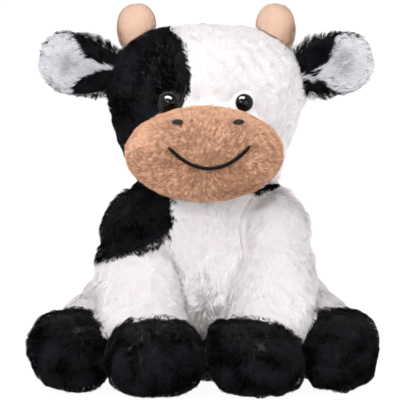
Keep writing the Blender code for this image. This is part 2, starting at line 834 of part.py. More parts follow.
def build_muzzle(shop, head_form, eye_rooms):
    """Muzzle on the front of the head, with its embroidered nostrils and mouth."""
    form = muzzle_form(shop)
    muzzle = shop.part("muzzle", form, TAN_PLUSH)
    under = neck_dome(shop, "muzzle_neck_room", MUZZLE_NECK_CLEARANCE)
    cut(muzzle, grown(shop, head_form, "muzzle_seat", SEAM_GAP), under, *eye_rooms)
    pieces = [muzzle]
    back = head_centre().y - HEAD_HALF_DEPTH
    stitches = [("mouth", mouth_outline(), MOUTH_THREAD)]
    for side, word in SIDES:
        stitches.append(("nostril_" + word, nostril_outline(side), NOSTRIL_THREAD))
    for name, outline, finish in stitches:
        region = slab(shop, name + "_region", outline, -OVERRUN, back)
        pieces.append(panel(shop, name, form, region, finish, STITCH_DEPTH, STITCH_PROUD))
        room = slab(shop, name + "_room", outline, -OVERRUN, back, SEAM_GAP)
        cut(muzzle, recess(shop, name + "_room", form, room, STITCH_DEPTH))
    return pieces


def build_eye(shop, tree, side, word):
    """One eye with its washer, and the rooms that they need."""
    start = head_centre() + Vector((side * EYE_SPREAD, 0.0, EYE_RISE))
    place, normal = reach(tree, start, -Y)
    dome = turned(shop, "eye_guide_" + word, eye_profile(0.0), place, normal, EYE_STEPS)
    ring = turned(shop, "washer_guide_" + word, washer_profile(), place, normal, EYE_STEPS, True)
    eye = shop.part("eye_" + word, dome, EYE_PLASTIC)
    washer = shop.part("eye_washer_" + word, ring, WASHER_PLASTIC)
    eye_room = turned(shop, "eye_room_" + word, eye_profile(SEAM_GAP), place, normal, EYE_STEPS)
    washer_room = turned(shop, "washer_room_" + word, washer_room_profile(), place, normal, EYE_STEPS)
    return [eye, washer], eye_room, washer_room


def build_horn(shop, head_form, side, word):
    """One horn, seated on the head."""
    horn = shop.part("horn_" + word, horn_form(shop, "horn_form_" + word, side), HORN_PLUSH)
    cut(horn, grown(shop, head_form, "horn_seat_" + word, SEAM_GAP))
    return horn


def build_ear(shop, head_form, tree, side, word):
    """One ear with its lining, on a seam that turns about an upright line."""
    root = ear_root(tree, side)
    form = ear_form(shop, "ear_form_" + word, root, side)
    ear = shop.part("ear_" + word, form, BLACK_PLUSH)
    cut(ear, grown(shop, head_form, "ear_clearance_" + word, EAR_HEAD_CLEARANCE))
    detail = (SMALL_SEAT_STEPS, SMALL_SEAT_ROWS)
    joined(ear, ball(shop, "ear_seam_" + word, root, (EAR_SEAM_RADIUS, EAR_SEAM_HALF_HEIGHT), Z, *detail))
    region = lining_slab(shop, "lining_region_" + word, root, side, 0.0)
    lining = panel(shop, "ear_lining_" + word, form, region, LINING_PLUSH, EAR_LINING_DEPTH)
    room = lining_slab(shop, "lining_room_" + word, root, side, SEAM_GAP)
    cut(ear, recess(shop, "lining_room_" + word, form, room, EAR_LINING_DEPTH))
    radii = (EAR_SEAM_RADIUS + SEAM_GAP, EAR_SEAM_HALF_HEIGHT + SEAM_GAP)
    return [ear, lining], ball(shop, "ear_room_" + word, root, radii, Z, *detail), root


def build_front_leg(shop, torso_shape, haunch_room, floor, side, word):
    """One front leg and hoof, and the black shoulder patch on the toy's right."""
    place = front_hoof_centre(side)
    lean = -side * FRONT_HOOF_LEAN_SHARES[word] * FRONT_HOOF_HALF_WIDTH
    sizes = (FRONT_HOOF_HALF_WIDTH, FRONT_HOOF_HALF_DEPTH, FRONT_HOOF_HEIGHT, lean)
    hoof_shape = hoof_form(shop, "front_hoof_form_" + word, place, *sizes)
    hoof = shop.part("front_hoof_" + word, hoof_shape, BLACK_PLUSH)
    torso_room = grown(shop, torso_shape, "front_leg_seat_" + word, SEAM_GAP)
    low = min(-side * OVERRUN, side * FRONT_HOOF_HALF_GAP)
    high = max(-side * OVERRUN, side * FRONT_HOOF_HALF_GAP)
    pressed = box(shop, "midline_block_" + word, (low, -OVERRUN, -OVERRUN), (high, OVERRUN, OVERRUN))
    cut(hoof, torso_room, floor, pressed)
    hoof_room = grown(shop, hoof_shape, "front_hoof_room_" + word, SEAM_GAP)
    shape = front_leg_form(shop, "front_leg_form_" + word, side)
    leg = shop.part("front_leg_" + word, shape, WHITE_PLUSH)
    cut(leg, torso_room, hoof_room, haunch_room)
    centre = shoulder_centre(side)
    joined(leg, ball(shop, "shoulder_" + word, centre, (SHOULDER_RADIUS, SHOULDER_HALF_WIDTH), X))
    pieces = [leg, hoof]
    if side < 0.0:
        patch = shop.part("shoulder_patch", leg, BLACK_PLUSH)
        boolean(patch, shoulder_slab(shop, "shoulder_region", 0.0), "INTERSECT")
        cut(leg, shoulder_slab(shop, "shoulder_room", SEAM_GAP))
        pieces.append(patch)
    radii = (SHOULDER_RADIUS + SEAM_GAP, SHOULDER_HALF_WIDTH + SEAM_GAP)
    rooms = [grown(shop, hoof_shape, "front_hoof_swing_" + word, SWING_GAP)]
    rooms.append(grown(shop, shape, "front_leg_swing_" + word, SWING_GAP))
    return pieces, ball(shop, "shoulder_room_" + word, centre, radii, X), rooms


def haunch_ball(shop, name, side, extra):
    """The round of the haunch, grown by an extra."""
    return ball(shop, name, haunch_centre(side), (HAUNCH_RADIUS + extra, HAUNCH_HALF_HEIGHT + extra), Z)


def build_hind_leg(shop, torso_shape, front_rooms, floor, side, word):
    """One hind leg and hoof."""
    place = hind_hoof_centre(side)
    sizes = (HIND_HOOF_HALF_WIDTH, HIND_HOOF_HALF_DEPTH, HIND_HOOF_HEIGHT)
    hoof_shape = hoof_form(shop, "hind_hoof_form_" + word, place, *sizes)
    hoof = shop.part("hind_hoof_" + word, hoof_shape, BLACK_PLUSH)
    cut(hoof, floor, *front_rooms)
    leg = shop.part("hind_leg_" + word, hind_leg_form(shop, "hind_leg_form_" + word, side), WHITE_PLUSH)
    seats = [grown(shop, torso_shape, "hind_leg_seat_" + word, SEAM_GAP)]
    seats.append(grown(shop, hoof_shape, "hind_hoof_room_" + word, SEAM_GAP))
    cut(leg, *seats, *front_rooms)
    joined(leg, haunch_ball(shop, "haunch_" + word, side, 0.0))
    cut(leg, floor)
    return [leg, hoof]


def build_tail(shop, torso_shape, root):
    """Tail and tuft, and the room for the ball of the tail's seam."""
    form = tuft_form(shop, root)
    tail = shop.part("tail", tail_form(shop, root), WHITE_PLUSH)
    cut(tail, grown(shop, torso_shape, "tail_seat", SEAM_GAP))
    detail = (SMALL_SEAT_STEPS, SMALL_SEAT_ROWS)
    joined(tail, ball(shop, "tail_ball", root, (TAIL_ROOT_RADIUS, TAIL_ROOT_RADIUS), X, *detail))
    cut(tail, grown(shop, form, "tuft_room", SEAM_GAP))
    tuft = shop.part("tail_tuft", form, BLACK_PLUSH)
    wider = TAIL_ROOT_RADIUS + SEAM_GAP
    return [tail, tuft], ball(shop, "tail_ball_room", root, (wider, wider), X, *detail)


def hang(pieces, pivot):
    """Parent the pieces of a moving body to its pivot."""
    for piece in pieces:
        attach(piece, pivot)


def centre_on_origin(shop):
    """Slide the whole model along Y until its bounding box is centred."""
    reaches = []
    for obj in shop.parts.objects:
        if obj.type == "MESH":
            reaches += [corner.y for corner in corners(obj)]
    shop.root.location.y = -(min(reaches) + max(reaches)) / 2.0


def main():
    """Build the cow."""
    clear_scene()
    shop = Workshop()
    floor = box(shop, "floor_block", (-OVERRUN, -OVERRUN, -OVERRUN), (OVERRUN, OVERRUN, 0.0))
    torso_shape, torso, saddle = build_torso(shop, floor)
    tail_place = tail_root(evaluated_bvh(torso_shape))
    tail_pieces, tail_room = build_tail(shop, torso_shape, tail_place)
    cut(torso, tail_room)
    hang(tail_pieces, shop.pivot("tail_pivot", tail_place))

    head_shape, head, head_patch = build_head(shop)
    head_tree = evaluated_bvh(head_shape)
    neck = shop.pivot("neck_pivot", neck_dome_centre())
    head_pieces = [head, head_patch]
    eye_rooms = []
    for side, word in SIDES:
        eye_pieces, eye_room, washer_room = build_eye(shop, head_tree, side, word)
        cut(head, eye_room, washer_room)
        if side < 0.0:
            cut(head_patch, eye_room, washer_room)
        eye_rooms.append(eye_room)
        head_pieces += eye_pieces
        head_pieces.append(build_horn(shop, head_shape, side, word))
        ear_pieces, ear_room, root = build_ear(shop, head_shape, head_tree, side, word)
        cut(head, ear_room)
        if side < 0.0:
            cut(head_patch, ear_room)
        hang(ear_pieces, shop.pivot("ear_pivot_" + word, root, neck))
    head_pieces += build_muzzle(shop, head_shape, eye_rooms)
    hang(head_pieces, neck)

    for side, word in SIDES:
        haunch_room = haunch_ball(shop, "haunch_room_" + word, side, SEAM_GAP)
        cut(torso, haunch_room)
        pieces, shoulder_room, rooms = build_front_leg(shop, torso_shape, haunch_room, floor, side, word)
        cut(torso, shoulder_room)
        cut(saddle, shoulder_room)
        hang(pieces, shop.pivot("shoulder_pivot_" + word, shoulder_centre(side)))
        pieces = build_hind_leg(shop, torso_shape, rooms, floor, side, word)
        hang(pieces, shop.pivot("hip_pivot_" + word, haunch_centre(side)))
    centre_on_origin(shop)


if __name__ == "__main__":
    main()
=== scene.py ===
"""Seated plush cow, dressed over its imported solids.

Every stuffed solid is replaced by a rounded skin with a pile of real strands that follows it. The
eyes, the horns and the embroidery are detailed pieces of their own.
"""
import json
import logging
import math
from dataclasses import dataclass, field
from enum import Enum
from typing import Callable

import bmesh
import bpy
import numpy as np
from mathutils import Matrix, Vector
from mathutils.bvhtree import BVHTree
from mathutils.kdtree import KDTree


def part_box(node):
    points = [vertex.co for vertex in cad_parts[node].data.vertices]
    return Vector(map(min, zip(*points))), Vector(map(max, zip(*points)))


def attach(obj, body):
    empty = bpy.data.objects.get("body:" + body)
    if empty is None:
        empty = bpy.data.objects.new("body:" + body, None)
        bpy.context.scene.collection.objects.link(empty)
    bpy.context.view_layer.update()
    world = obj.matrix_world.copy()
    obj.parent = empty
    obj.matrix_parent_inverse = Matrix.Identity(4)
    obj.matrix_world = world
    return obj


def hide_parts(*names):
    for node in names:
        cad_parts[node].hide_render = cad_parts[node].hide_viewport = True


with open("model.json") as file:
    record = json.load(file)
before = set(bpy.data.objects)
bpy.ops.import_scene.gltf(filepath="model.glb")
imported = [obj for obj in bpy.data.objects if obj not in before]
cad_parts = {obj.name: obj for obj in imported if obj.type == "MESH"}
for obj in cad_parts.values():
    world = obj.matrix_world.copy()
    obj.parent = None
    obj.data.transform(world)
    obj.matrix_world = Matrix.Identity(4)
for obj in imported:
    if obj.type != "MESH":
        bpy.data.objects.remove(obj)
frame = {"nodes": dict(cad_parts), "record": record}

LOG = logging.getLogger("cow")
MM = 0.001
PALETTE = "OFBake"
TINTS = 16
COOLEST = 0.2
NO_TINT = (1.0, 1.0, 1.0)
SIDES = ("left", "right")
STITCHED = ("mouth", "nostril_left", "nostril_right")
SHOULDER_LINE = 114.0 * MM
SHOULDER_SIDE = 32.0 * MM
NECK_LINE = 139.0 * MM
CHEST_SIDE = 23.0 * MM


class Grain(Enum):
    """The ways in which a pile is combed."""

    DOWN = "down"
    FROM_MUZZLE = "from_muzzle"
    FROM_MOUTH = "from_mouth"
    AROUND_SOLE = "around_sole"
    ALONG_EAR = "along_ear"
    UP_HORN = "up_horn"


# Shader maths
def operator(operation: str, turned: bool = False) -> Callable[["Wire", object], "Wire"]:
    """One overloaded operator of a wire.

    Args:
        operation: The Math node's operation.
        turned: Whether the wire stands second, as in 1 - mask.

    Returns:
        The method, which adds that node.
    """
    def method(wire: "Wire", other: object) -> "Wire":
        """Add the Math node."""
        pair = {0: other, 1: wire} if turned else {0: wire, 1: other}
        return wire.painter.node("ShaderNodeMath", {"operation": operation}, pair)

    return method


class Wire:
    """A shader socket that takes part in Python expressions."""

    def __init__(self, painter: "Painter", socket: bpy.types.NodeSocket) -> None:
        self.painter = painter
        self.socket = socket

    __add__ = __radd__ = operator("ADD")
    __mul__ = __rmul__ = operator("MULTIPLY")
    __and__ = __rand__ = operator("MINIMUM")
    __or__ = __ror__ = operator("MAXIMUM")
    __sub__, __rsub__ = operator("SUBTRACT"), operator("SUBTRACT", turned=True)
    __truediv__, __rtruediv__ = operator("DIVIDE"), operator("DIVIDE", turned=True)
    __pow__, __rpow__ = operator("POWER"), operator("POWER", turned=True)
    __gt__, __lt__ = operator("GREATER_THAN"), operator("LESS_THAN")


class Painter:
    """The node tree of one material or world."""

    def __init__(self, name: str, blocks: str = "materials",
                 shader: str = "Principled BSDF") -> None:
        self.block = getattr(bpy.data, blocks).new(name)
        self.block.use_nodes = True
        self.tree = self.block.node_tree
        self.shader = self.tree.nodes[shader]

    def node(self, kind: str, settings: dict, inputs: dict, output: object = 0) -> Wire:
        """Add a node.

        Args:
            kind: The node's type.
            settings: Its properties, and under "stops" the places and colours of a ramp.
            inputs: The value or wire of each socket, by name or number.
            output: Which output to return.

        Returns:
            The wire of that output.
        """
        made = self.tree.nodes.new(kind)
        for key, value in settings.items():
            if key == "stops":
                self._stops(made.color_ramp, value)
            else:
                setattr(made, key, value)
        for key, value in inputs.items():
            self.feed(made.inputs[key], value)
        return Wire(self, made.outputs[output])

    def _stops(self, ramp: bpy.types.ColorRamp, stops: tuple) -> None:
        """Set the places and colours of a ramp."""
        while len(ramp.elements) < len(stops):
            ramp.elements.new(1.0)
        for element, (place, colour) in zip(ramp.elements, stops):
            element.position = place
            element.color = (*colour, 1.0)

    def feed(self, socket: bpy.types.NodeSocket, value: object) -> None:
        """Link a wire to a socket, or set the socket's own value."""
        if isinstance(value, Wire):
            self.tree.links.new(value.socket, socket)
        elif isinstance(value, tuple) and len(value) == 3 and socket.type == "RGBA":
            socket.default_value = (*value, 1.0)
        else:
            socket.default_value = value

    def place(self) -> Wire:
        """The object's own place."""
        return self.node("ShaderNodeTexCoord", {}, {}, "Object")

    def ray(self, kind: str) -> Wire:
        """Whether a ray is of one kind."""
        return self.node("ShaderNodeLightPath", {}, {}, f"Is {kind} Ray")

    def axes(self, vector: Wire) -> list[Wire]:
        """The X, Y and Z of a vector."""
        split = self.node("ShaderNodeSeparateXYZ", {}, {"Vector": vector})
        return [Wire(self, socket) for socket in split.socket.node.outputs]

    def noise(self, scale: float) -> Wire:
        """Noise over the object's own place."""
        return self.node("ShaderNodeTexNoise", {}, {"Vector": self.place(), "Scale": scale}, "Fac")

    def mix(self, share: object, first: object, second: object, blend: str = "MIX") -> Wire:
        """Blend two colours."""
        settings = {"data_type": "RGBA", "clamp_result": True, "blend_type": blend}
        return self.node("ShaderNodeMix", settings, {0: share, 6: first, 7: second}, 2)

    def ramp(self, along: Wire, stops: tuple) -> Wire:
        """Colour along a ramp."""
        return self.node("ShaderNodeValToRGB", {"stops": stops}, {"Fac": along})

    def finish(self, **values: object) -> bpy.types.ID:
        """Set sockets of the shader, named with underscores, and return the material or world."""
        for key, value in values.items():
            self.feed(self.shader.inputs[key.replace("_", " ")], value)
        return self.block


@dataclass(frozen=True)
class PileFinish:
    """Colours of a pile of strands and of the cloth under it.

    A strand runs from the root's colour to the tip's, and is multiplied by its tint, which runs
    from a painted shade colour over cool to warm. The painted shade end darkens strands in creases,
    dents, hollows and under the stitches.
    """

    name: str
    root: tuple
    tip: tuple
    cool: tuple
    deep: tuple
    warm: tuple = NO_TINT
    roughness: float = 0.9
    sheen: float = 0.1
    sheen_roughness: float = 0.4
    rise: float = 0.8
    weave: float = 900.0
    blotch: float = 60.0
    weave_share: float = 0.6

    def strands(self) -> bpy.types.Material:
        """Material of the strands: along V from root to tip, and along U from tint to tint."""
        paint = Painter(self.name + "_pile")
        across, along, _ = paint.axes(paint.node("ShaderNodeUVMap", {"uv_map": PALETTE}, {}))
        # The ramp's lowest stop is painted shade.
        tint = paint.ramp(across, ((0.0, self.deep), (COOLEST, self.cool), (1.0, self.warm)))
        shade = paint.mix(along ** self.rise, self.root, self.tip)
        return paint.finish(
            Base_Color=paint.mix(1.0, shade, tint, "MULTIPLY"), Roughness=self.roughness,
            Sheen_Weight=self.sheen, Sheen_Roughness=self.sheen_roughness, Specular_IOR_Level=0.0,
        )

    def cloth(self) -> bpy.types.Material:
        """Material of the skin that the strands grow from."""
        paint = Painter(self.name + "_cloth")
        return self._woven(paint, self._dyed(paint))

    def yoked(self, other: "PileFinish") -> bpy.types.Material:
        """Material of the torso's skin, in another finish's colour under the yoke."""
        paint = Painter(self.name + "_yoked")
        mask = yoke(*paint.axes(paint.place()))
        return self._woven(paint, paint.mix(mask, self._dyed(paint), other._dyed(paint)))

    def _dyed(self, paint: Painter) -> Wire:
        """Mottled colour of the cloth."""
        fine = paint.noise(self.weave) * self.weave_share
        mottle = fine + paint.noise(self.blotch) * (1.0 - self.weave_share)
        return paint.mix(mottle, self.root, self.tip)

    def _woven(self, paint: Painter, colour: Wire) -> bpy.types.Material:
        """Cloth of one colour, with its weave."""
        height = {"Strength": 0.6, "Distance": MM, "Height": paint.noise(self.weave)}
        normal = paint.node("ShaderNodeBump", {}, height)
        return paint.finish(
            Base_Color=colour, Roughness=0.95, Specular_IOR_Level=0.1, Normal=normal,
        )


@dataclass(frozen=True)
class ThreadFinish:
    """Embroidery thread."""

    name: str
    dark: tuple
    light: tuple
    fibre: float = 1500.0

    def material(self) -> bpy.types.Material:
        """Material of satin stitches."""
        paint = Painter(self.name)
        colour = paint.mix(paint.noise(self.fibre), self.dark, self.light)
        return paint.finish(Base_Color=colour, Roughness=0.7, Specular_IOR_Level=0.02)


@dataclass(frozen=True)
class DomeFinish:
    """Glossy moulded eye with a dark pupil in a brown ring, whose edges are shares of the rim."""

    name: str
    pupil: tuple
    ring: tuple
    edges: tuple = (0.52, 0.66, 0.90)

    def material(self, centre: Vector, radius: float) -> bpy.types.Material:
        """Material of a dome.

        Args:
            centre: Middle of the dome.
            radius: Radius of the dome's rim.

        Returns:
            The material, whose ring follows the distance from the dome's middle.
        """
        paint = Painter(self.name)
        ends = {0: paint.place(), 1: tuple(centre)}
        away = paint.node("ShaderNodeVectorMath", {"operation": "DISTANCE"}, ends, 1)
        colours = (self.pupil, self.pupil, self.ring, self.ring, self.pupil)
        colour = paint.ramp(away / radius, tuple(zip((0.0, *self.edges, 1.0), colours)))
        return paint.finish(Base_Color=colour, Roughness=0.03, Specular_IOR_Level=0.2)


# In each finish below, the darkest tint colour is painted shade for creases, dents and hollows.
WHITE = PileFinish(
    "white_plush", root=(0.86, 0.825, 0.83), tip=(0.965, 0.937, 0.943),
    cool=(0.97, 0.98, 1.0), deep=(0.38, 0.335, 0.32), warm=(1.0, 0.98, 0.97),
)
BLACK = PileFinish(
    "black_plush", root=(0.003, 0.003, 0.0033), tip=(0.020, 0.020, 0.0245),
    cool=(0.06, 0.06, 0.07), deep=(0.03, 0.03, 0.04), roughness=0.7, sheen=0.04,
)
TAN = PileFinish(
    "tan_plush", root=(0.18, 0.075, 0.040), tip=(1.0, 0.61, 0.41),
    cool=(0.53, 0.46, 0.415), deep=(0.40, 0.33, 0.29), roughness=0.85,
)
LINING = PileFinish(
    "lining_plush", root=(0.50, 0.49, 0.51), tip=(0.97, 0.955, 0.98),
    cool=(0.72, 0.71, 0.75), deep=(0.5, 0.49, 0.52),
)
HORN = PileFinish(
    "horn_plush", root=(0.66, 0.46, 0.35), tip=(0.83, 0.59, 0.45),
    cool=(0.90, 0.89, 0.88), deep=(0.80, 0.79, 0.78), sheen=0.2,
)
MOUTH_THREAD = ThreadFinish("mouth_thread", (0.004, 0.003, 0.003), (0.013, 0.010, 0.009))
NOSTRIL_THREAD = ThreadFinish("nostril_thread", (0.018, 0.014, 0.014), (0.050, 0.041, 0.040))
EYE = DomeFinish("eye_plastic", (0.001, 0.001, 0.001), (0.006, 0.004, 0.003))


def yoke(x: object, y: object, z: object) -> object:
    """Where the black of the saddle reaches over the shoulders, for wires and arrays alike."""
    left = x < -CHEST_SIDE
    right = (x > SHOULDER_SIDE) & ((y > 0.0) | (z > NECK_LINE))
    return (z > SHOULDER_LINE) & (left | right)


# Number helpers
def unit(vectors: np.ndarray) -> np.ndarray:
    """Vectors at length one."""
    return vectors / np.maximum(np.linalg.norm(vectors, axis=-1, keepdims=True), 1e-12)


def dot(first: np.ndarray, second: np.ndarray) -> np.ndarray:
    """Dot product row by row, as a column."""
    return (first * second).sum(axis=1, keepdims=True)


def read(data: bpy.types.bpy_prop_collection, name: str, width: int,
         kind: type = float) -> np.ndarray:
    """One property of a whole mesh collection as an array."""
    flat = np.zeros(len(data) * width, kind)
    data.foreach_get(name, flat)
    return flat.reshape(-1, width) if width > 1 else flat


class Ripple:
    """Smooth noise around zero."""

    def __init__(self, size: float, seed: int, count: int = 16) -> None:
        """Choose the waves.

        Args:
            size: Length over which the noise swings, in metres.
            seed: Which noise.
            count: How many waves it is made of.
        """
        rng = np.random.default_rng(seed)
        pitch = rng.uniform(0.6, 1.5, (count, 1)) * math.pi / size
        self.waves = unit(rng.normal(size=(count, 3))) * pitch
        self.phases = rng.uniform(0.0, math.tau, count)
        self.share = 1.1 / math.sqrt(count)

    def height(self, places: np.ndarray) -> np.ndarray:
        """Value at each place, mostly between -1 and 1."""
        return np.sin(places @ self.waves.T + self.phases).sum(axis=1) * self.share

    def slope(self, places: np.ndarray) -> np.ndarray:
        """Gradient at each place, per metre."""
        return np.cos(places @ self.waves.T + self.phases) @ self.waves * self.share


def joined(nodes: list[str]) -> tuple[list, list, list]:
    """Several solids as one soup of faces.

    Args:
        nodes: Their names.

    Returns:
        The places, the faces, and the number of the solid of each face.
    """
    places, faces, owners = [], [], []
    for number, name in enumerate(nodes):
        start = len(places)
        mesh = frame["nodes"][name].data
        places += [tuple(vertex.co) for vertex in mesh.vertices]
        faces += [tuple(start + index for index in face.vertices) for face in mesh.polygons]
        owners += [number] * len(mesh.polygons)
    return places, faces, owners


def reworked(mesh: bpy.types.Mesh, work: Callable[[bmesh.types.BMesh], object]) -> None:
    """Change a mesh through bmesh."""
    bm = bmesh.new()
    bm.from_mesh(mesh)
    work(bm)
    bm.to_mesh(mesh)
    bm.free()


def shown(name: str, data: bpy.types.ID | None) -> bpy.types.Object:
    """Add a mesh, lamp or camera to the scene."""
    obj = bpy.data.objects.new(name, data)
    bpy.context.scene.collection.objects.link(obj)
    return obj


def modified(name: str, mesh: bpy.types.Mesh, steps: dict[str, dict]) -> bpy.types.Mesh:
    """A copy of a mesh after some modifiers.

    Args:
        name: Name of the copy.
        mesh: The mesh.
        steps: The settings of each modifier, by its type.

    Returns:
        The changed copy.
    """
    source = shown(name, mesh)
    for kind, settings in steps.items():
        step = source.modifiers.new(kind, kind)
        for key, value in settings.items():
            setattr(step, key, value)
    graph = bpy.context.evaluated_depsgraph_get()
    result = bpy.data.meshes.new_from_object(source.evaluated_get(graph))
    bpy.data.objects.remove(source)
    return result


def evened(name: str, mesh: bpy.types.Mesh, voxel: float, rounds: int) -> bpy.types.Mesh:
    """An even, eased copy of a mesh.

    Args:
        name: Name of the copy.
        mesh: The closed mesh, or several that overlap or nearly touch.
        voxel: Size of the even faces, in metres.
        rounds: How often they are eased.

    Returns:
        The copy, without crumbs.
    """
    steps = {
        "REMESH": {"mode": "VOXEL", "voxel_size": voxel},
        "SMOOTH": {"factor": 0.5, "iterations": rounds},
    }
    result = modified(name, mesh, steps)
    reworked(result, drop_crumbs)
    result.shade_smooth()
    return result


def island_of(start: bmesh.types.BMVert) -> list[bmesh.types.BMVert]:
    """All vertices that hang together with one, each tagged."""
    start.tag = True
    island, ahead = [], [start]
    while ahead:
        here = ahead.pop()
        island.append(here)
        others = [edge.other_vert(here) for edge in here.link_edges]
        for other in (vertex for vertex in others if not vertex.tag):
            other.tag = True
            ahead.append(other)
    return island


def drop_crumbs(bm: bmesh.types.BMesh) -> None:
    """Delete the small loose islands that remeshing can leave."""
    smallest = 0.05 * len(bm.verts)
    islands = [island_of(vertex) for vertex in bm.verts if not vertex.tag]
    crumbs = [vertex for island in islands if len(island) < smallest for vertex in island]
    bmesh.ops.delete(bm, geom=crumbs, context="VERTS")


@dataclass(frozen=True)
class Bell:
    """Bell-shaped change in the pile's height: a rise, or a dent where its size is used as one.

    The place and the radii are in millimetres, and an endless radius leaves its axis out. A dent
    can also darken the pile's tint by a share, as painted shade in its groove or hollow.
    """

    middle: tuple
    radii: tuple
    size: float
    dent_shade: float = 0.0
    sink: float = 0.0

    def height(self, places: np.ndarray) -> np.ndarray:
        """Height at each place, in the unit of the size."""
        away = (places / MM - np.array(self.middle)) / self.radii
        return self.size * np.exp(-(away ** 2).sum(axis=1))

    def slope(self, places: np.ndarray) -> np.ndarray:
        """Gradient of that height, per metre."""
        away = (places / MM - np.array(self.middle)) / np.square(self.radii)
        return -2.0 / MM * away * self.height(places)[:, None]


def tuft(x: float, y: float, z: float, radius: float, growth: float) -> Bell:
    """Round area of fuller pile, or of trimmed pile where the growth is negative, in mm."""
    return Bell((x, y, z), (radius, radius, radius), growth * MM)


TUFTS = (
    tuft(-57.0, 0.0, 146.0, 13.0, 5.0), tuft(54.0, 5.0, 147.0, 13.0, 5.5),
    tuft(-78.0, -10.0, 100.0, 17.0, 2.5), tuft(76.0, -10.0, 100.0, 17.0, 1.5),
    tuft(-72.0, 26.0, 238.0, 15.0, 4.5), tuft(70.0, 26.0, 238.0, 15.0, 5.0),
    tuft(-69.0, 26.0, 209.0, 11.0, 4.0), tuft(72.0, 26.0, 207.0, 13.0, 4.5),
    tuft(-120.0, -50.0, 44.0, 17.0, 3.5), tuft(124.0, -45.0, 26.0, 24.0, -3.2),
    tuft(-121.0, -50.0, 8.0, 20.0, -3.2), tuft(118.0, -50.0, 0.0, 17.0, -3.0),
    tuft(61.0, 12.0, 169.0, 18.0, -3.5), tuft(-60.0, 12.0, 160.0, 14.0, -1.5),
    tuft(-30.0, -30.0, 204.0, 18.0, -2.2), tuft(0.0, -30.0, 204.0, 18.0, -2.2),
    tuft(30.0, -30.0, 204.0, 18.0, -2.2),
)
ENDLESS = float("inf")
# The chest seam and the ear linings' hollows darken the pile as painted shade, besides sinking it.
CHEST_SEAM = Bell((0.0, 0.0, 0.0), (1.7, ENDLESS, ENDLESS), 1.8, dent_shade=0.04, sink=1.0)
LINING_HOLLOWS = {
    "ear_lining_left": Bell((95.0, 0.0, 228.0), (7.5, ENDLESS, 7.5), 3.0, dent_shade=0.26, sink=0.15),
    "ear_lining_right": Bell((-95.0, 0.0, 228.0), (7.5, ENDLESS, 7.5), 3.0, dent_shade=0.26, sink=0.15),
}
DENTS = {"torso": CHEST_SEAM, **LINING_HOLLOWS}


def fullness(places: np.ndarray) -> np.ndarray:
    """Extra height of the pile at each place, in metres."""
    return sum(spot.height(places) for spot in TUFTS)


@dataclass(frozen=True)
class Pile:
    """Size and lie of a pile.

    The lengths are in metres, the density in strands per square millimetre, the lift and the droop
    in degrees, and the rest are shares.
    """

    length: float
    width: float
    density: float
    inset: float
    lift: float = 40.0
    droop: float = 30.0
    clump: float = 3.0 * MM
    pull: float = 0.3
    swirl: float = 0.5
    dimple: float = 0.5 * MM
    dimple_size: float = 6.0 * MM
    relief: float = 0.35
    tone_and_sheen_patches: float = 0.12
    patch_size: float = 12.0 * MM
    painted_light: float = 0.0
    mottle: float = 0.45
    trim: float = 0.0

    def depth(self, places: np.ndarray, normals: np.ndarray) -> np.ndarray:
        """How far the roots stand under the outer surface, in metres."""
        trim = self.trim * np.clip(normals[:, 0], 0.0, 1.0)
        return self.inset + trim + np.maximum(-fullness(places), 0.0)


BODY_PILE = Pile(5.6 * MM, 0.44 * MM, 1.6, 2.8 * MM, relief=0.28)
BLACK_PILE = Pile(5.6 * MM, 0.44 * MM, 1.6, 2.8 * MM, relief=0.9, tone_and_sheen_patches=0.35)
HAUNCH_PILE = Pile(
    5.6 * MM, 0.44 * MM, 2.0, 2.8 * MM, lift=28.0, droop=18.0, relief=0.12, dimple=0.2 * MM,
    swirl=0.2,
)
HEAD_PILE = Pile(5.2 * MM, 0.42 * MM, 1.7, 2.6 * MM, relief=0.28)
HEAD_PATCH_PILE = Pile(
    5.2 * MM, 0.42 * MM, 1.7, 2.6 * MM, relief=0.9, tone_and_sheen_patches=0.35, patch_size=16.0 * MM,
)
HOOF_PILE = Pile(
    5.0 * MM, 0.40 * MM, 1.9, 2.6 * MM, relief=0.9, dimple_size=9.0 * MM, dimple=0.9 * MM,
    tone_and_sheen_patches=0.45,
)
MUZZLE_PILE = Pile(
    4.8 * MM, 0.34 * MM, 3.6, 3.1 * MM, lift=55.0, droop=34.0, clump=1.7 * MM, pull=0.5, relief=1.2,
    painted_light=0.9, mottle=1.15, trim=2.4 * MM,
)
EAR_PILE = Pile(4.4 * MM, 0.36 * MM, 2.2, 1.8 * MM, lift=35.0, droop=20.0)
LINING_PILE = Pile(
    5.6 * MM, 0.36 * MM, 2.6, 1.0 * MM, lift=24.0, droop=10.0, relief=0.9, clump=2.0 * MM, pull=0.5,
)
HORN_PILE = Pile(0.8 * MM, 0.20 * MM, 6.0, 0.4 * MM, lift=60.0, clump=0.8 * MM, dimple=0.0)
TAIL_PILE = Pile(3.4 * MM, 0.36 * MM, 2.2, 1.6 * MM, lift=30.0, droop=16.0)


@dataclass(frozen=True)
class CleftShade:
    """Painted shade on the pile between the front legs and along the crease beside the chest."""

    top: float = 92.0 * MM
    fall: float = 36.0 * MM
    width: float = 11.0 * MM
    crease: tuple = ((110.0 * MM, -25.0 * MM), (45.0 * MM, -8.0 * MM))
    crease_width: float = 4.5 * MM

    def shade(self, places: np.ndarray) -> np.ndarray:
        """How much painted shade darkens each place."""
        x, y, z = places.T
        depth = np.clip((self.top - z) / self.fall, 0.0, 1.0)
        between = 0.75 * depth * np.exp(-((x / self.width) ** 2))
        (high, outer), (low, inner) = self.crease
        line = np.interp(z, (low, high), (inner, outer))
        beside = 0.35 * np.exp(-(((x - line) / self.crease_width) ** 2)) * (z < high)
        return np.maximum(between, beside) * (y < 0.0)


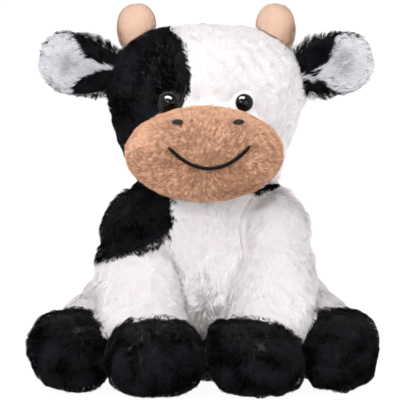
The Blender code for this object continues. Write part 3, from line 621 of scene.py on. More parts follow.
@dataclass(frozen=True)
class EarShape:
    """Outline of an ear's lining as seen from the front: heights along the ear, in millimetres."""

    above: tuple
    below: tuple

    def inside(self, places: np.ndarray) -> np.ndarray:
        """Whether each place lies within the outline."""
        out = np.abs(places[:, 0]) / MM
        high, low = (np.interp(out, *zip(*line)) for line in (self.above, self.below))
        return (places[:, 2] > low * MM) & (places[:, 2] < high * MM)


EAR_SHAPES = {
    "left": EarShape(
        ((76.0, 218.3), (85.2, 228.3), (93.7, 252.5)),
        ((76.0, 216.1), (85.9, 211.9), (97.3, 200.0)),
    ),
    "right": EarShape(
        ((71.0, 224.7), (82.4, 231.8), (95.1, 252.0)),
        ((71.0, 222.6), (86.6, 218.3), (92.3, 212.6), (95.1, 200.0)),
    ),
}


class Comb:
    """Directions in which the piles lie."""

    def __init__(self) -> None:
        low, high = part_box("muzzle")
        self.muzzle = np.array((low + high) / 2.0)
        self.mouth = np.array((0.0, low.y, low.z + 0.385 * (high.z - low.z)))

    def lie(self, grain: Grain, node: str, places: np.ndarray) -> np.ndarray:
        """The combed direction at each place, before it is laid on the surface.

        Args:
            grain: How the pile is combed.
            node: The solid that it grows on.
            places: Places, one a row.

        Returns:
            One direction a place.
        """
        low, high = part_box(node)
        middle = np.array((low + high) / 2.0)
        if grain is Grain.FROM_MUZZLE:
            return unit(places - self.muzzle) + (0.0, 0.35, 0.1)
        if grain is Grain.FROM_MOUTH:
            return unit((places - self.mouth) * (1.0, 0.2, 1.0)) + (0.0, 0.2, -0.25)
        if grain is Grain.AROUND_SOLE:
            away = places - (middle[0], low.y, middle[2])
            reach = np.linalg.norm(away, axis=1, keepdims=True) + 12.0 * MM
            outward = 1.3 * away / reach + (0.0, 0.1, -1.0)
            top = np.clip((places[:, 2:] - middle[2]) / (high.z - middle[2]) * 1.6 - 0.5, 0.0, 1.0)
            return outward * (1.0 - top) + np.array((0.0, -0.8, -1.0)) * top
        if grain is Grain.ALONG_EAR:
            return np.tile((math.copysign(1.0, middle[0]), 0.0, 0.15), (len(places), 1))
        if grain is Grain.UP_HORN:
            return np.tile((0.0, 0.0, 1.0), (len(places), 1))
        return np.tile((0.0, 0.0, -1.0), (len(places), 1)) + (places - middle) * (3.0, 3.0, 0.0)


class Fleece:
    """One outer surface over several solids, on which their piles grow without a gap."""

    def __init__(self, nodes: dict[str, Pile], voxel: float, rounds: int) -> None:
        """Make the surface.

        Args:
            nodes: The solids, and the pile that each carries.
            voxel: Size of its even faces, in metres.
            rounds: How often they are eased.
        """
        self.nodes = list(nodes)
        places, faces, self.owners = joined(self.nodes)
        self.solids = BVHTree.FromPolygons(places, faces)
        soup = bpy.data.meshes.new("fleece")
        soup.from_pydata(places, [], faces)
        mesh = evened("fleece", soup, voxel, rounds)
        mesh.calc_loop_triangles()
        self.places = read(mesh.vertices, "co", 3)
        self.normals = read(mesh.vertices, "normal", 3)
        self.corners = read(mesh.loop_triangles, "vertices", 3, int)
        self.tree = BVHTree.FromPolygons(self.places.tolist(), self.corners.tolist())
        self.room = self._room()
        middles = self.places[self.corners].mean(axis=1)
        ripples = [Ripple(3.0 * MM, seed) for seed in (71, 72, 73)]
        swing = np.stack([ripple.height(middles) for ripple in ripples], axis=1)
        self.ragged = middles + swing * 0.6 * MM
        self.owner = self._owner()

    def _room(self) -> np.ndarray:
        """Free length over each face, in metres, up to a limit."""
        reach = 12.0 * MM
        middles = self.places[self.corners].mean(axis=1)
        normals = unit(self.normals[self.corners].mean(axis=1))
        room = np.full(len(middles), reach)
        for index, (place, normal) in enumerate(zip(middles, normals)):
            distance = self.tree.ray_cast(place + normal * 0.2 * MM, normal, reach)[3]
            if distance is not None:
                room[index] = distance
        return room

    def _owner(self) -> np.ndarray:
        """Number of the solid under each face, ragged along the seams."""
        return np.array([self.owners[self.solids.find_nearest(place)[2]] for place in self.ragged])

    def claim(self, giver: str, taker: str, where: Callable[[np.ndarray], np.ndarray]) -> None:
        """Give some of one solid's faces to another solid of the same body.

        Args:
            giver: The solid whose faces they are.
            taker: The solid whose pile grows there instead.
            where: Tells which places are meant.
        """
        mine = np.flatnonzero(self.owner == self.nodes.index(giver))
        self.owner[mine[where(self.ragged[mine])]] = self.nodes.index(taker)

    def faces_of(self, node: str) -> tuple[np.ndarray, np.ndarray]:
        """The faces over one solid.

        Args:
            node: The solid.

        Returns:
            The corners of each face, and the room over it.
        """
        mine = (self.owner == self.nodes.index(node)) & (self.room > 0.5 * MM)
        return self.corners[mine], self.room[mine]

    def covers(self, places: np.ndarray) -> np.ndarray:
        """Whether each place lies at the outer surface, as 0 or 1."""
        return np.array([float(self.tree.find_nearest(place)[3] < 1.2 * MM) for place in places])


class Skin:
    """Rounded, stuffed skin of one solid, drawn in where its pile stands."""

    def __init__(self, node: str, pile: Pile, fleece: Fleece, voxel: float, rounds: int) -> None:
        """Make the skin.

        Args:
            node: The solid that it stands for.
            pile: The pile that it carries.
            fleece: The surface that the pile grows on.
            voxel: Size of the even mesh, in metres.
            rounds: How often that mesh is eased.
        """
        self.mesh = evened(node, frame["nodes"][node].data.copy(), voxel, rounds)
        places = read(self.mesh.vertices, "co", 3)
        normals = read(self.mesh.vertices, "normal", 3)
        bare = self._eased(fleece.covers(places) * self._uncarried(fleece, places), 5)
        depth = pile.depth(places, normals) * bare
        places = places - normals * depth[:, None]
        places[:, 2] = np.maximum(places[:, 2], 0.0)
        self.mesh.vertices.foreach_set("co", places.ravel())
        self.mesh.update()

    def _uncarried(self, fleece: Fleece, places: np.ndarray) -> np.ndarray:
        """Whether each place carries no horn, ear or eye, as 0 or 1."""
        flat = (*fleece.nodes, *STITCHED)
        others = [name for name in frame["nodes"] if name not in flat]
        return Clearance(others, 1.6 * MM).free(places).astype(float)

    def _eased(self, values: np.ndarray, rounds: int) -> np.ndarray:
        """Values evened out over neighbouring vertices."""
        edges = read(self.mesh.edges, "vertices", 2, int)
        count = np.bincount(edges.ravel(), minlength=len(values))
        for _ in range(rounds):
            total = np.bincount(edges[:, 0], values[edges[:, 1]], len(values))
            total += np.bincount(edges[:, 1], values[edges[:, 0]], len(values))
            values = 0.5 * values + 0.5 * total / np.maximum(count, 1)
        return values


class Clearance:
    """Hard pieces and lines of stitches that a pile keeps off."""

    def __init__(self, nodes: list[str], margin: float, lines: list[tuple] = ()) -> None:
        """Gather what has to stay clear.

        Args:
            nodes: Solids.
            margin: Distance to keep from them, in metres.
            lines: Places along stitches, each with its half length.
        """
        self.margin = margin
        places, faces, _ = joined(nodes)
        self.tree = BVHTree.FromPolygons(places, faces)
        self.halves = [half for _, halves in lines for half in halves]
        self.points = KDTree(len(self.halves))
        for index, place in enumerate(point for middles, _ in lines for point in middles):
            self.points.insert(place, index)
        self.points.balance()

    def _clear(self, place: np.ndarray) -> bool:
        """Whether one place is clear."""
        if self.tree.find_nearest(place, self.margin)[0] is not None:
            return False
        if not self.halves:
            return True
        _, index, distance = self.points.find(place)
        return distance > self.halves[index] + 0.15 * MM

    def free(self, places: np.ndarray) -> np.ndarray:
        """Whether each place is clear."""
        return np.array([self._clear(place) for place in places])

    def shade_below_stitches(self, places: np.ndarray, reach: float) -> np.ndarray:
        """How much painted shade falls on the pile just below the stitches at each place, from 0 to
        1.
        """
        found = [self.points.find(place) for place in places]
        below = np.array([place.z + MM > point[2] for (place, _, _), point in zip(found, places)])
        return below * np.exp(-((np.array([distance for _, _, distance in found]) / reach) ** 2))


class Coat:
    """The strands of one piece."""

    lengths: tuple = (0.8, 1.15)
    lift_spread: float = 6.0
    lift_ends: tuple = (10.0, 85.0)
    fuller_length: float = 1.4
    fuller_lift: float = 5.0
    pulls: tuple = (0.5, 1.3)
    middle_pull: float = 0.4
    roll_spread: float = 0.4
    widths: tuple = (0.7, 1.2)
    lowest: float = 0.3 * MM
    slope_gain: float = 1.6
    tint_spread: float = 0.45
    crease_shade: float = 0.45
    crease_shade_reach: float = 9.0 * MM
    stitch_shade: float = 0.3
    stitch_shade_reach: float = 7.0 * MM

    def __init__(self, node: str, pile: Pile, grain: Grain, comb: Comb, fleece: Fleece,
                 seed: int) -> None:
        self.dent = DENTS.get(node)
        self.node = node
        self.pile = pile
        self.grain = grain
        self.comb = comb
        self.fleece = fleece
        self.rng = np.random.default_rng(seed)
        self.seed = seed

    def _roots(self) -> tuple[np.ndarray, np.ndarray, np.ndarray]:
        """Scatter the roots.

        Returns:
            The place, the normal and the room over each root.
        """
        corners, room = self.fleece.faces_of(self.node)
        a, b, c = (self.fleece.places[corners[:, k]] for k in range(3))
        area = np.linalg.norm(np.cross(b - a, c - a), axis=1) / 2.0
        under = (a[:, 2] < 3.0 * MM) & (self.fleece.normals[corners[:, 0], 2] < -0.5)
        weight = area * np.where(under, 0.25 if self.pile.relief < 0.5 else 0.7, 1.0)
        count = int(weight.sum() / MM ** 2 * self.pile.density * (1.0))
        chosen = self.rng.choice(len(corners), count, p=weight / weight.sum())
        first, second = self.rng.random((2, count, 1))
        turned = first + second > 1.0
        first, second = np.where(turned, 1.0 - first, first), np.where(turned, 1.0 - second, second)
        share = (1.0 - first - second, first, second)
        picked = corners[chosen]
        place = sum(s * self.fleece.places[picked[:, k]] for k, s in enumerate(share))
        normal = unit(sum(s * self.fleece.normals[picked[:, k]] for k, s in enumerate(share)))
        return place, normal, room[chosen]

    def _laid(self, place: np.ndarray, normal: np.ndarray) -> np.ndarray:
        """The combed direction along the surface, with its swirls."""
        lie = self.comb.lie(self.grain, self.node, place)
        lie = unit(lie - normal * dot(lie, normal))
        side = np.cross(normal, lie)
        broad, fine = Ripple(22.0 * MM, self.seed + 1), Ripple(7.0 * MM, self.seed + 2)
        turn = self.pile.swirl * (broad.height(place) + 0.6 * fine.height(place))
        turn = (turn + self.rng.normal(0.0, 0.25, len(place)))[:, None]
        return lie * np.cos(turn) + side * np.sin(turn)

    def grow(self, clearance: Clearance | None) -> tuple[np.ndarray, np.ndarray, np.ndarray]:
        """Grow the strands.

        Args:
            clearance: What they keep off.

        Returns:
            The corners of each strand, the normal of each strand, and its tint.
        """
        root, normal, room = self._roots()
        lie = self._laid(root, normal)
        height, slope, dent_shade = self._relief(root)
        depth = self.pile.depth(root, normal) - self.pile.dimple * height
        place = root - normal * depth[:, None]
        fuller = np.maximum(fullness(root), 0.0)
        middle, tip, leader = self._spines(place, normal, lie, room, fuller)
        strand, face = self._blades(place, middle, tip, normal)
        slope = slope * self.pile.dimple * self.slope_gain
        shade = unit(normal - (slope - normal * dot(slope, normal)) + face * self.pile.relief)
        tint = self._tints(root, normal, room, leader, dent_shade)
        # Painted shade on the muzzle's pile below the mouth and the nostrils.
        if self.node == "muzzle":
            tint -= self.stitch_shade * clearance.shade_below_stitches(root, self.stitch_shade_reach)
        if clearance is not None:
            kept = clearance.free(tip) & clearance.free(middle)
            strand, shade, tint = strand[kept], shade[kept], tint[kept]
        return strand, shade, tint

    def _relief(self, root: np.ndarray) -> tuple[np.ndarray, np.ndarray, object]:
        """Height and slope of the dimples and the dent at each root, and the dent's painted shade.
        """
        dimple = Ripple(self.pile.dimple_size, self.seed + 4)
        height, slope = dimple.height(root), dimple.slope(root)
        if self.dent is None:
            return height, slope, 0.0
        dent = self.dent.height(root)
        return height - dent * self.dent.sink, slope - self.dent.slope(root), self.dent.dent_shade * dent

    def _spines(self, place: np.ndarray, normal: np.ndarray, lie: np.ndarray, room: np.ndarray,
                fuller: np.ndarray) -> tuple[np.ndarray, np.ndarray, np.ndarray]:
        """Bend each strand over the surface and lean it to its clump.

        Args:
            place: Foot of each strand.
            normal: Normal of the surface there.
            lie: Combed direction there.
            room: Free length there, in metres.
            fuller: Extra height of the pile there, in metres.

        Returns:
            The middle and the tip of each strand, and the number of its clump's leader.
        """
        count = len(place)
        length = self.pile.length * self.rng.uniform(*self.lengths, count)
        length = np.minimum(length + self.fuller_length * fuller, self.pile.inset + room)
        lift = self.pile.lift + self.rng.normal(0.0, self.lift_spread, count)
        lift = np.clip(lift + self.fuller_lift * fuller / MM, *self.lift_ends)
        lift = np.radians(lift)[:, None]
        low = lift - math.radians(self.pile.droop)
        half = (length / 2.0)[:, None]
        middle = place + half * (normal * np.sin(lift) + lie * np.cos(lift))
        tip = middle + half * (normal * np.sin(low) + lie * np.cos(low))
        leader = self._leaders(place)
        pull = (self.pile.pull * self.rng.uniform(*self.pulls, count))[:, None]
        tip = tip + (tip[leader] - tip) * pull
        return middle + (middle[leader] - middle) * pull * self.middle_pull, tip, leader

    def _blades(self, place: np.ndarray, middle: np.ndarray, tip: np.ndarray,
                normal: np.ndarray) -> tuple[np.ndarray, np.ndarray]:
        """Give each strand its width.

        Args:
            place: Foot of each strand.
            middle: Its middle.
            tip: Its tip.
            normal: Normal of the surface under it.

        Returns:
            The four corners of each strand, and the direction that it faces.
        """
        count = len(place)
        run = unit(tip - place)
        across = unit(np.cross(run, normal))
        roll = self.rng.normal(0.0, self.roll_spread, (count, 1))
        across = across * np.cos(roll) + np.cross(run, across) * np.sin(roll)
        wide = across * (self.pile.width / 2.0 * self.rng.uniform(*self.widths, (count, 1)))
        strand = np.stack((place, middle - wide, middle + wide, tip), axis=1)
        strand[:, :, 2] = np.maximum(strand[:, :, 2], self.lowest)
        face = unit(np.cross(across, run))
        return strand, face * np.where(dot(face, normal) < 0.0, -1.0, 1.0)

    def _tints(self, root: np.ndarray, normal: np.ndarray, room: np.ndarray, leader: np.ndarray,
               dent_shade: object) -> np.ndarray:
        """Choose each strand's tint.

        Args:
            root: Place of each strand on the surface.
            normal: Normal of the surface there.
            room: Free length there, in metres.
            leader: Number of its clump's leader.
            dent_shade: Painted shade that the dent adds.

        Returns:
            The tints, mostly between 0 and 1.
        """
        count = len(root)
        spread = self.tint_spread
        tint = self.rng.random(count) * spread + self.pile.mottle * self.rng.random(count)[leader]
        tint -= (self.pile.mottle - spread) / 2.0
        # Broad random patches of lighter and darker tint: uneven tone, and on the black piles
        # painted sheen.
        tint += self.pile.tone_and_sheen_patches * Ripple(self.pile.patch_size, self.seed + 5).height(root)
        # Painted light: pile facing up, and less so pile facing -x, is lighter; pile facing
        # elsewhere darker.
        lit = np.clip(normal[:, 2], 0.0, 1.0) + 0.4 * np.clip(-normal[:, 0], 0.0, 1.0)
        tint += self.pile.painted_light * (lit - 0.2)
        # The dent's painted shade comes off the tint here.
        tint = COOLEST + (1.0 - COOLEST) * np.clip(tint, 0.0, 1.0) - dent_shade
        # Painted shade: pile with little free room over it, in creases and between parts, is
        # darker.
        tint -= self.crease_shade * np.clip(1.0 - room / self.crease_shade_reach, 0.0, 1.0)
        # Painted shade between the front legs and beside the chest, on the front only.
        if self.node.startswith(("torso", "front_leg")):
            tint -= CleftShade().shade(root)
        return tint

    def _leaders(self, place: np.ndarray) -> np.ndarray:
        """The strand that each strand's clump leans to."""
        step = max(int(self.pile.density * (self.pile.clump / MM) ** 2), 1)
        heads = np.arange(0, len(place), step)
        tree = KDTree(len(heads))
        for index in heads:
            tree.insert(place[index], int(index))
        tree.balance()
        return np.array([tree.find(point)[1] for point in place])

    def piece(self, name: str, finish: PileFinish, clearance: Clearance | None) -> bpy.types.Object:
        """Make the strands into one object."""
        strand, shade, tint = self.grow(clearance)
        count = len(strand)
        mesh = bpy.data.meshes.new(name)
        mesh.vertices.add(count * 4)
        mesh.vertices.foreach_set("co", strand.ravel())
        corner = np.array((0, 2, 1, 1, 2, 3))
        mesh.loops.add(count * 6)
        mesh.loops.foreach_set("vertex_index", (np.arange(count)[:, None] * 4 + corner).ravel())
        mesh.polygons.add(count * 2)
        mesh.polygons.foreach_set("loop_start", np.arange(count * 2) * 3)
        mesh.polygons.foreach_set("use_smooth", np.ones(count * 2, bool))
        mesh.update(calc_edges=True)
        cell = np.clip((tint * TINTS).astype(int), 0, TINTS - 1)[:, None]
        along = np.array((0.03, 0.5, 0.5, 0.97))[corner]
        over = np.array((0.5, 0.25, 0.75, 0.5))[corner]
        uv = np.stack(((cell + over) / TINTS, np.repeat(along[None], count, axis=0)), axis=2)
        mesh.uv_layers.new(name=PALETTE).data.foreach_set("uv", uv.ravel())
        mesh.normals_split_custom_set_from_vertices(np.repeat(shade, 4, axis=0).tolist())
        mesh.materials.append(material_of(finish, "strands"))
        return shown(name, mesh)


MATERIALS: dict[str, bpy.types.Material] = {}


def material_of(finish: PileFinish, part: str) -> bpy.types.Material:
    """The strands or the cloth of a finish, made once."""
    key = finish.name + part
    if key not in MATERIALS:
        MATERIALS[key] = getattr(finish, part)()
    return MATERIALS[key]


def body_of(node: str) -> str:
    """The body that a solid belongs to."""
    bodies = frame["record"]["behaviour"]["bodies"]
    return next(body for body, nodes in bodies.items() if node in nodes)


def settle_in(piece: bpy.types.Object, node: str) -> None:
    """Let a piece ride with a solid's body.

    Args:
        piece: The new piece.
        node: The solid that it belongs with.
    """
    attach(piece, body_of(node))
    LOG.info("%s rides on %s with %d faces", piece.name, body_of(node), len(piece.data.polygons))


@dataclass
class Plush:
    """A stuffed piece: its skin and its pile."""

    node: str
    finish: PileFinish
    pile: Pile
    grain: Grain
    voxel: float = 2.2 * MM
    rounds: int = 5
    fill: float = 0.8

    def build(self, comb: Comb, fleece: Fleece, seed: int,
              clearance: Clearance | None = None) -> None:
        """Make the skin and the pile, and put them in the solid's place.

        Args:
            comb: Directions of the piles.
            fleece: The surface that this pile grows on.
            seed: Seed of its draws.
            clearance: What the pile keeps off.
        """
        skin = Skin(self.node, self.pile, fleece, self.voxel, self.rounds)
        cover = shown(self.node + "_skin", skin.mesh)
        skin.mesh.materials.clear()
        cloth = WHITE.yoked(BLACK) if self.node == "torso" else material_of(self.finish, "cloth")
        skin.mesh.materials.append(cloth)
        settle_in(cover, self.node)
        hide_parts(self.node)
        coat = Coat(self.node, self.pile, self.grain, comb, fleece, seed)
        pile = coat.piece(self.node + "_pile", self.finish, clearance)
        settle_in(pile, self.node)


@dataclass
class Toy:
    """The whole toy."""

    thin: dict = field(default_factory=lambda: dict(voxel=1.2 * MM, rounds=3))
    thinnest: dict = field(default_factory=lambda: dict(voxel=0.7 * MM, rounds=2, fill=0.4))

    def parts(self) -> list[Plush]:
        """The stuffed pieces of the body and the head."""
        pieces = [
            Plush("torso", WHITE, BODY_PILE, Grain.DOWN),
            Plush("saddle_patch", BLACK, BLACK_PILE, Grain.DOWN, voxel=1.6 * MM),
            Plush("head", WHITE, HEAD_PILE, Grain.FROM_MUZZLE),
            Plush("head_patch", BLACK, HEAD_PATCH_PILE, Grain.FROM_MUZZLE, voxel=1.6 * MM),
            Plush("muzzle", TAN, MUZZLE_PILE, Grain.FROM_MOUTH, voxel=1.8 * MM),
            Plush("shoulder_patch", BLACK, BLACK_PILE, Grain.DOWN),
            Plush("tail", WHITE, TAIL_PILE, Grain.DOWN, **self.thin),
            Plush("tail_tuft", BLACK, TAIL_PILE, Grain.DOWN, **self.thin),
        ]
        for side in SIDES:
            pieces += [
                Plush("front_leg_" + side, WHITE, BODY_PILE, Grain.DOWN),
                Plush("front_hoof_" + side, BLACK, HOOF_PILE, Grain.AROUND_SOLE),
                Plush("hind_leg_" + side, WHITE, HAUNCH_PILE, Grain.DOWN),
                Plush("hind_hoof_" + side, BLACK, HOOF_PILE, Grain.AROUND_SOLE),
            ]
        return pieces

    def ear(self, side: str) -> list[Plush]:
        """The stuffed pieces of one ear."""
        return [
            Plush("ear_" + side, BLACK, EAR_PILE, Grain.ALONG_EAR, **self.thin),
            Plush("ear_lining_" + side, LINING, LINING_PILE, Grain.ALONG_EAR, **self.thinnest),
        ]

    def _neck(self, places: np.ndarray) -> np.ndarray:
        """Whether the black of the saddle reaches each place beside the neck."""
        return yoke(*places.T)

    def _brow(self, places: np.ndarray) -> np.ndarray:
        """Whether each place lies behind the muzzle's upper edge, as seen from the front."""
        return (places[:, 2] + 0.09 * places[:, 1] > 197.5 * MM) & (places[:, 1] > -32.0 * MM)

    def _dark_brow(self, places: np.ndarray) -> np.ndarray:
        """The part of the brow that lies on the head patch's side."""
        return self._brow(places) & (places[:, 0] < -18.0 * MM)

    def _fringe(self, places: np.ndarray) -> np.ndarray:
        """Whether the lining's pale fringe takes the ear's front and edge at each place."""
        streaks = Ripple(2.0 * MM, 75).height(places) > -0.1
        front, edge = places[:, 1] < 24.0 * MM, places[:, 1] < 28.0 * MM
        shape = EAR_SHAPES["left" if places[0, 0] > 0.0 else "right"]
        outer = np.abs(places[:, 0]) > 94.0 * MM
        return shape.inside(places) & (front | (edge & streaks & outer))

    def _dark_front(self, places: np.ndarray) -> np.ndarray:
        """Whether the ear's black takes each place of the lining."""
        return ~EAR_SHAPES["left" if places[0, 0] > 0.0 else "right"].inside(places)

    def _spread(self, fleece: Fleece, giver: str, taker: str, margin: float,
                within: Callable) -> None:
        """Let a solid's pile reach a little over its neighbour.

        Args:
            fleece: The surface of both.
            giver: The neighbour.
            taker: The solid.
            margin: How far it reaches, in metres.
            within: Tells where it does, from x and z in metres.
        """
        close = Clearance([taker], margin)
        fleece.claim(giver, taker, lambda at: ~close.free(at) & within(at[:, 0], at[:, 2]))

    def build(self, comb: Comb, stitched: "Embroidery") -> None:
        """Make every stuffed piece.

        Args:
            comb: Directions of the piles.
            stitched: The embroidery that the pile of the face keeps off.
        """
        hard = Clearance(["eye_left", "eye_right"], 0.4 * MM, stitched.lines())
        parts = self.parts()
        fleece = Fleece({part.node: part.pile for part in parts}, 1.6 * MM, 9)
        fleece.claim("torso", "saddle_patch", self._neck)
        fleece.claim("muzzle", "head_patch", self._dark_brow)
        fleece.claim("muzzle", "head", self._brow)
        spread = [
            ("head", "head_patch", 2.0, lambda x, z: (z > 180.0 * MM) & (x > -40.0 * MM)),
            ("front_leg_right", "shoulder_patch", 3.2, lambda x, z: x > -50.0 * MM),
        ]
        for side in SIDES:
            spread += [
                ("hind_leg_" + side, "hind_hoof_" + side, 2.8, lambda x, z: z > 30.0 * MM),
                ("front_leg_" + side, "front_hoof_" + side, 2.6, lambda x, z: abs(x) > 48.0 * MM),
            ]
        for giver, taker, margin, within in spread:
            self._spread(fleece, giver, taker, margin * MM, within)
        for number, part in enumerate(parts):
            near_face = part.node in ("head", "head_patch", "muzzle")
            part.build(comb, fleece, 100 + 10 * number, hard if near_face else None)
        for place, side in enumerate(SIDES):
            parts = self.ear(side)
            fleece = Fleece({part.node: part.pile for part in parts}, 1.0 * MM, 2)
            fleece.claim("ear_" + side, "ear_lining_" + side, self._fringe)
            fleece.claim("ear_lining_" + side, "ear_" + side, self._dark_front)
            for number, part in enumerate(parts):
                part.build(comb, fleece, 400 + 50 * place + 10 * number)
            horn = Plush("horn_" + side, HORN, HORN_PILE, Grain.UP_HORN, voxel=1.4 * MM, fill=1.0)
            horn.build(comb, Fleece({horn.node: horn.pile}, 1.4 * MM, 4), 600 + 50 * place)


@dataclass
class Eyes:
    """The two domed eyes and their washers."""

    finish: DomeFinish = EYE
    levels: int = 2

    def _rounded(self, mesh: bpy.types.Mesh, low: Vector, high: Vector) -> bpy.types.Mesh:
        """A subdivided copy of a mesh that still fills its box."""
        result = modified("eye", mesh, {"SUBSURF": {"levels": self.levels}})
        places = read(result.vertices, "co", 3)
        start, end = places.min(axis=0), places.max(axis=0)
        places = np.array(low) + (places - start) / (end - start) * np.array(high - low)
        result.vertices.foreach_set("co", places.ravel())
        result.shade_smooth()
        return result

    def build(self) -> None:
        """Replace each faceted eye by a smooth one, and dress the washers."""
        for side in SIDES:
            node = "eye_" + side
            mesh = frame["nodes"][node].data.copy()
            reworked(mesh, lambda bm: bmesh.ops.remove_doubles(bm, verts=bm.verts, dist=0.01 * MM))
            low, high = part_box(node)
            mesh = self._rounded(mesh, low, high)
            eye = shown(node + "_dome", mesh)
            pole = Vector(((low.x + high.x) / 2.0, low.y, (low.z + high.z) / 2.0))
            mesh.materials.clear()
            mesh.materials.append(self.finish.material(pole, (high.x - low.x) * 0.62))
            settle_in(eye, node)
            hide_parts(node)
            washer = frame["nodes"]["eye_washer_" + side]
            paint = Painter("washer_" + side)
            colour = paint.mix(paint.noise(400.0), (0.012, 0.012, 0.012), (0.020, 0.020, 0.020))
            washer.data.materials.clear()
            washer.data.materials.append(paint.finish(Base_Color=colour, Roughness=0.6))


@dataclass
class Embroidery:
    """Satin-stitched mouth and nostrils."""

    thread: float = 0.55 * MM
    pitch: float = 0.42 * MM
    sides: int = 6
    rings: int = 5
    sink: float = 0.3 * MM
    smile: float = 1.22
    mouth_half: float = 1.32 * MM
    nostril_half: float = 2.1 * MM
    nostril_shift: float = 1.4 * MM

    def _spine(self, node: str, degree: int) -> np.ndarray:
        """Follow a stitched solid across the face.

        Args:
            node: The solid.
            degree: Degree of the curve through it.

        Returns:
            Places along the middle of its front, one a stitch.
        """
        places = read(frame["nodes"][node].data.vertices, "co", 3)
        left, right = places[:, 0].min(), places[:, 0].max()
        edges = np.linspace(left, right, max(int((right - left) / (2.2 * MM)), 3) + 1)
        knots = []
        for low, high in zip(edges[:-1], edges[1:]):
            here = places[(places[:, 0] >= low) & (places[:, 0] <= high)]
            if len(here) > 3:
                level = (here[:, 2].max() + here[:, 2].min()) / 2.0
                knots.append(((low + high) / 2.0, here[:, 1].min(), level))
        across, depth, level = np.array(knots).T
        fine = np.linspace(left, right, 400)
        line = [np.polyval(np.polyfit(across, value, degree), fine) for value in (depth, level)]
        line = np.stack((fine, *line), axis=1)
        run = np.concatenate(((0.0,), np.cumsum(np.linalg.norm(np.diff(line, axis=0), axis=1))))
        at = np.arange(self.pitch, run[-1] - self.pitch, self.pitch)
        return np.stack([np.interp(at, run, line[:, k]) for k in range(3)], axis=1)

    def _stitches(self, middles: np.ndarray, halves: np.ndarray, slant: float,
                  rise: float) -> tuple[list, list]:
        """Lay one thread across each point.

        Args:
            middles: Points along the spine.
            halves: Half length of the thread at each.
            slant: How far a thread leans along the spine, as a share of its length.
            rise: How far its middle stands out, in metres.

        Returns:
            The places and the faces of all threads.
        """
        tangent = unit(np.gradient(middles, axis=0))
        front = np.array((0.0, -1.0, 0.0))
        places, faces = [], []
        for middle, half, along in zip(middles, halves, tangent):
            across = unit(np.cross(front, along)) + along * slant
            out = unit(np.cross(along, np.cross(front, along)))
            start = len(places)
            for ring in range(self.rings):
                share = 2.0 * ring / (self.rings - 1) - 1.0
                core = middle + across * half * share + out * rise * (1.0 - share * share)
                slim = self.thread / 2.0 * (0.45 + 0.55 * math.sqrt(max(1.0 - share ** 4, 0.0)))
                for side in range(self.sides):
                    turn = math.tau * side / self.sides
                    edge = along * math.cos(turn) + out * math.sin(turn)
                    places.append(tuple(core + edge * slim))
            for ring in range(self.rings - 1):
                for side in range(self.sides):
                    a = start + ring * self.sides + side
                    b = start + ring * self.sides + (side + 1) % self.sides
                    faces.append((a, b, b + self.sides, a + self.sides))
            last = start + (self.rings - 1) * self.sides
            faces.append(tuple(start + side for side in reversed(range(self.sides))))
            faces.append(tuple(last + side for side in range(self.sides)))
        return places, faces

    def _stitch(self, node: str, finish: ThreadFinish, halves: np.ndarray, middles: np.ndarray,
                slant: float) -> None:
        """Make one embroidered piece."""
        places, faces = self._stitches(middles, halves, slant, 0.5 * MM)
        mesh = bpy.data.meshes.new(node + "_stitches")
        mesh.from_pydata(places, [], faces)
        mesh.shade_smooth()
        reworked(mesh, lambda bm: bmesh.ops.recalc_face_normals(bm, faces=bm.faces))
        mesh.materials.append(finish.material())
        piece = shown(node + "_stitches", mesh)
        settle_in(piece, node)
        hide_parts(node)

    def mouth(self) -> tuple[np.ndarray, np.ndarray]:
        """Places along the mouth, and the half length of each stitch."""
        middles = self._spine("mouth", 4)
        lowest = middles[:, 2].min()
        middles[:, 2] = lowest + (middles[:, 2] - lowest) * self.smile + 0.4 * MM
        middles[:, 1] += self.sink
        ends = np.minimum(np.arange(len(middles)), np.arange(len(middles))[::-1])
        return middles, self.mouth_half * np.clip(ends / 4.0, 0.5, 1.0)

    def nostril(self, side: str) -> tuple[np.ndarray, np.ndarray]:
        """Places along one nostril, and the half length of each stitch."""
        middles = self._spine("nostril_" + side, 1)
        middles += (self.nostril_shift, self.sink, 0.0)
        share = np.linspace(-0.96, 0.96, len(middles))
        return middles, self.nostril_half * np.sqrt(1.0 - share * share)

    def lines(self) -> list[tuple]:
        """All lines of stitches."""
        return [self.mouth(), self.nostril("left"), self.nostril("right")]

    def build(self) -> None:
        """Stitch the mouth and both nostrils."""
        middles, halves = self.mouth()
        self._stitch("mouth", MOUTH_THREAD, halves, middles, 0.35)
        for side in SIDES:
            middles, halves = self.nostril(side)
            self._stitch("nostril_" + side, NOSTRIL_THREAD, halves, middles, 0.2)


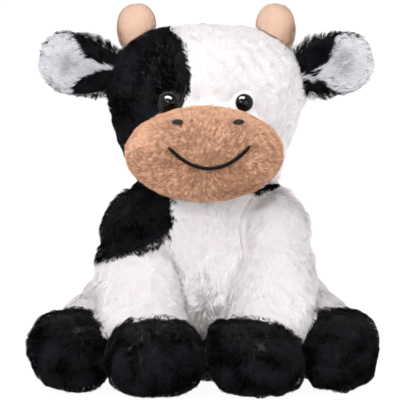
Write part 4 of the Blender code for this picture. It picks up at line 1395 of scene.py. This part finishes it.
@dataclass
class Studio:
    """Camera, lights and floor."""

    elevation: float = 5.25
    distance: float = 3.0
    pixel: float = 0.71 * MM
    middle: tuple = (206.0, 191.0)
    level: float = 0.1385
    picture: float = 400.0

    def build(self) -> None:
        """Set the camera at the photograph's place, with soft light around a pale floor."""
        self._camera()
        self._world()
        self._floor()
        self._lamp("key", (-0.5, -1.4, 0.55), 0.36, 7.0)
        self._lamp("side", (-1.0, -0.95, 0.95), 0.34, 3.6)
        self._lamp("catchlight", (-0.21, -0.45, 1.25), 1.3, 200.0, only_gloss=True)
        self._lamp("fill", (0.9, -1.2, 0.25), 1.0, 5.5)
        scene = bpy.context.scene
        scene.view_settings.view_transform = "Standard"

    def _camera(self) -> None:
        """The camera."""
        lens = bpy.data.cameras.new("camera")
        lens.sensor_width = 36.0
        lens.lens = lens.sensor_width * self.distance / (self.picture * self.pixel)
        lens.clip_end = 100.0
        obj = shown("camera", lens)
        tilt = math.radians(self.elevation)
        half = self.picture / 2.0
        across = (half - self.middle[0]) * self.pixel
        down = (half - self.middle[1]) * self.pixel
        up = Vector((0.0, math.sin(tilt), math.cos(tilt)))
        aim = Vector((across, 0.0, self.level)) - up * down
        obj.location = aim + self.distance * Vector((0.0, -math.cos(tilt), math.sin(tilt)))
        obj.rotation_euler = (math.pi / 2.0 - tilt, 0.0, 0.0)
        bpy.context.scene.camera = obj

    def _world(self) -> None:
        """Even light all round, white where the camera sees it."""
        paint = Painter("studio", "worlds", "Background")
        seen = paint.ray("Camera") | paint.ray("Transmission") | paint.ray("Glossy")
        light = paint.node("ShaderNodeMix", {}, {0: seen, 2: 0.95, 3: 1.0})
        bpy.context.scene.world = paint.finish(Color=NO_TINT, Strength=light)

    def _floor(self) -> None:
        """White floor that takes a soft shadow."""
        mesh = bpy.data.meshes.new("floor")
        reworked(mesh, lambda bm: bmesh.ops.create_grid(bm, x_segments=1, y_segments=1, size=40.0))
        paint = Painter("floor")
        mesh.materials.append(
            paint.finish(Base_Color=(0.93, 0.93, 0.93), Roughness=1.0, Specular_IOR_Level=0.0)
        )
        glow = paint.node("ShaderNodeEmission", {}, {"Strength": 1.12})
        cloth = Wire(paint, paint.shader.outputs[0])
        inputs = {0: paint.ray("Camera") * 0.85, 1: cloth, 2: glow}
        surface = paint.node("ShaderNodeMixShader", {}, inputs)
        paint.feed(paint.tree.nodes["Material Output"].inputs["Surface"], surface)
        shown("floor", mesh)

    def _lamp(self, name: str, place: tuple, size: float, power: float,
              only_gloss: bool = False) -> None:
        """A soft area lamp aimed at the toy, or a panel that only shows in gloss."""
        light = bpy.data.lights.new(name, "AREA")
        light.shape = "DISK"
        light.size = size
        light.energy = power
        if only_gloss:
            light.shape = "RECTANGLE"
            light.size_y = size * 0.5
        obj = shown(name, light)
        obj.location = place
        aim = Vector((0.0, 0.0, self.level)) - obj.location
        obj.rotation_euler = aim.to_track_quat("-Z", "Y").to_euler()
        obj.visible_diffuse = not only_gloss


def corners(bounds: object) -> list[list[float]]:
    """A box as plain lists."""
    return [[float(value) for value in corner] for corner in bounds]


def main() -> None:
    """Build the toy and its studio."""
    logging.basicConfig(level=logging.INFO, format="%(message)s")
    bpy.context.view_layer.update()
    Studio().build()
    stitched = Embroidery()
    Toy().build(Comb(), stitched)
    Eyes().build()
    stitched.build()


if __name__ == "__main__":
    main()
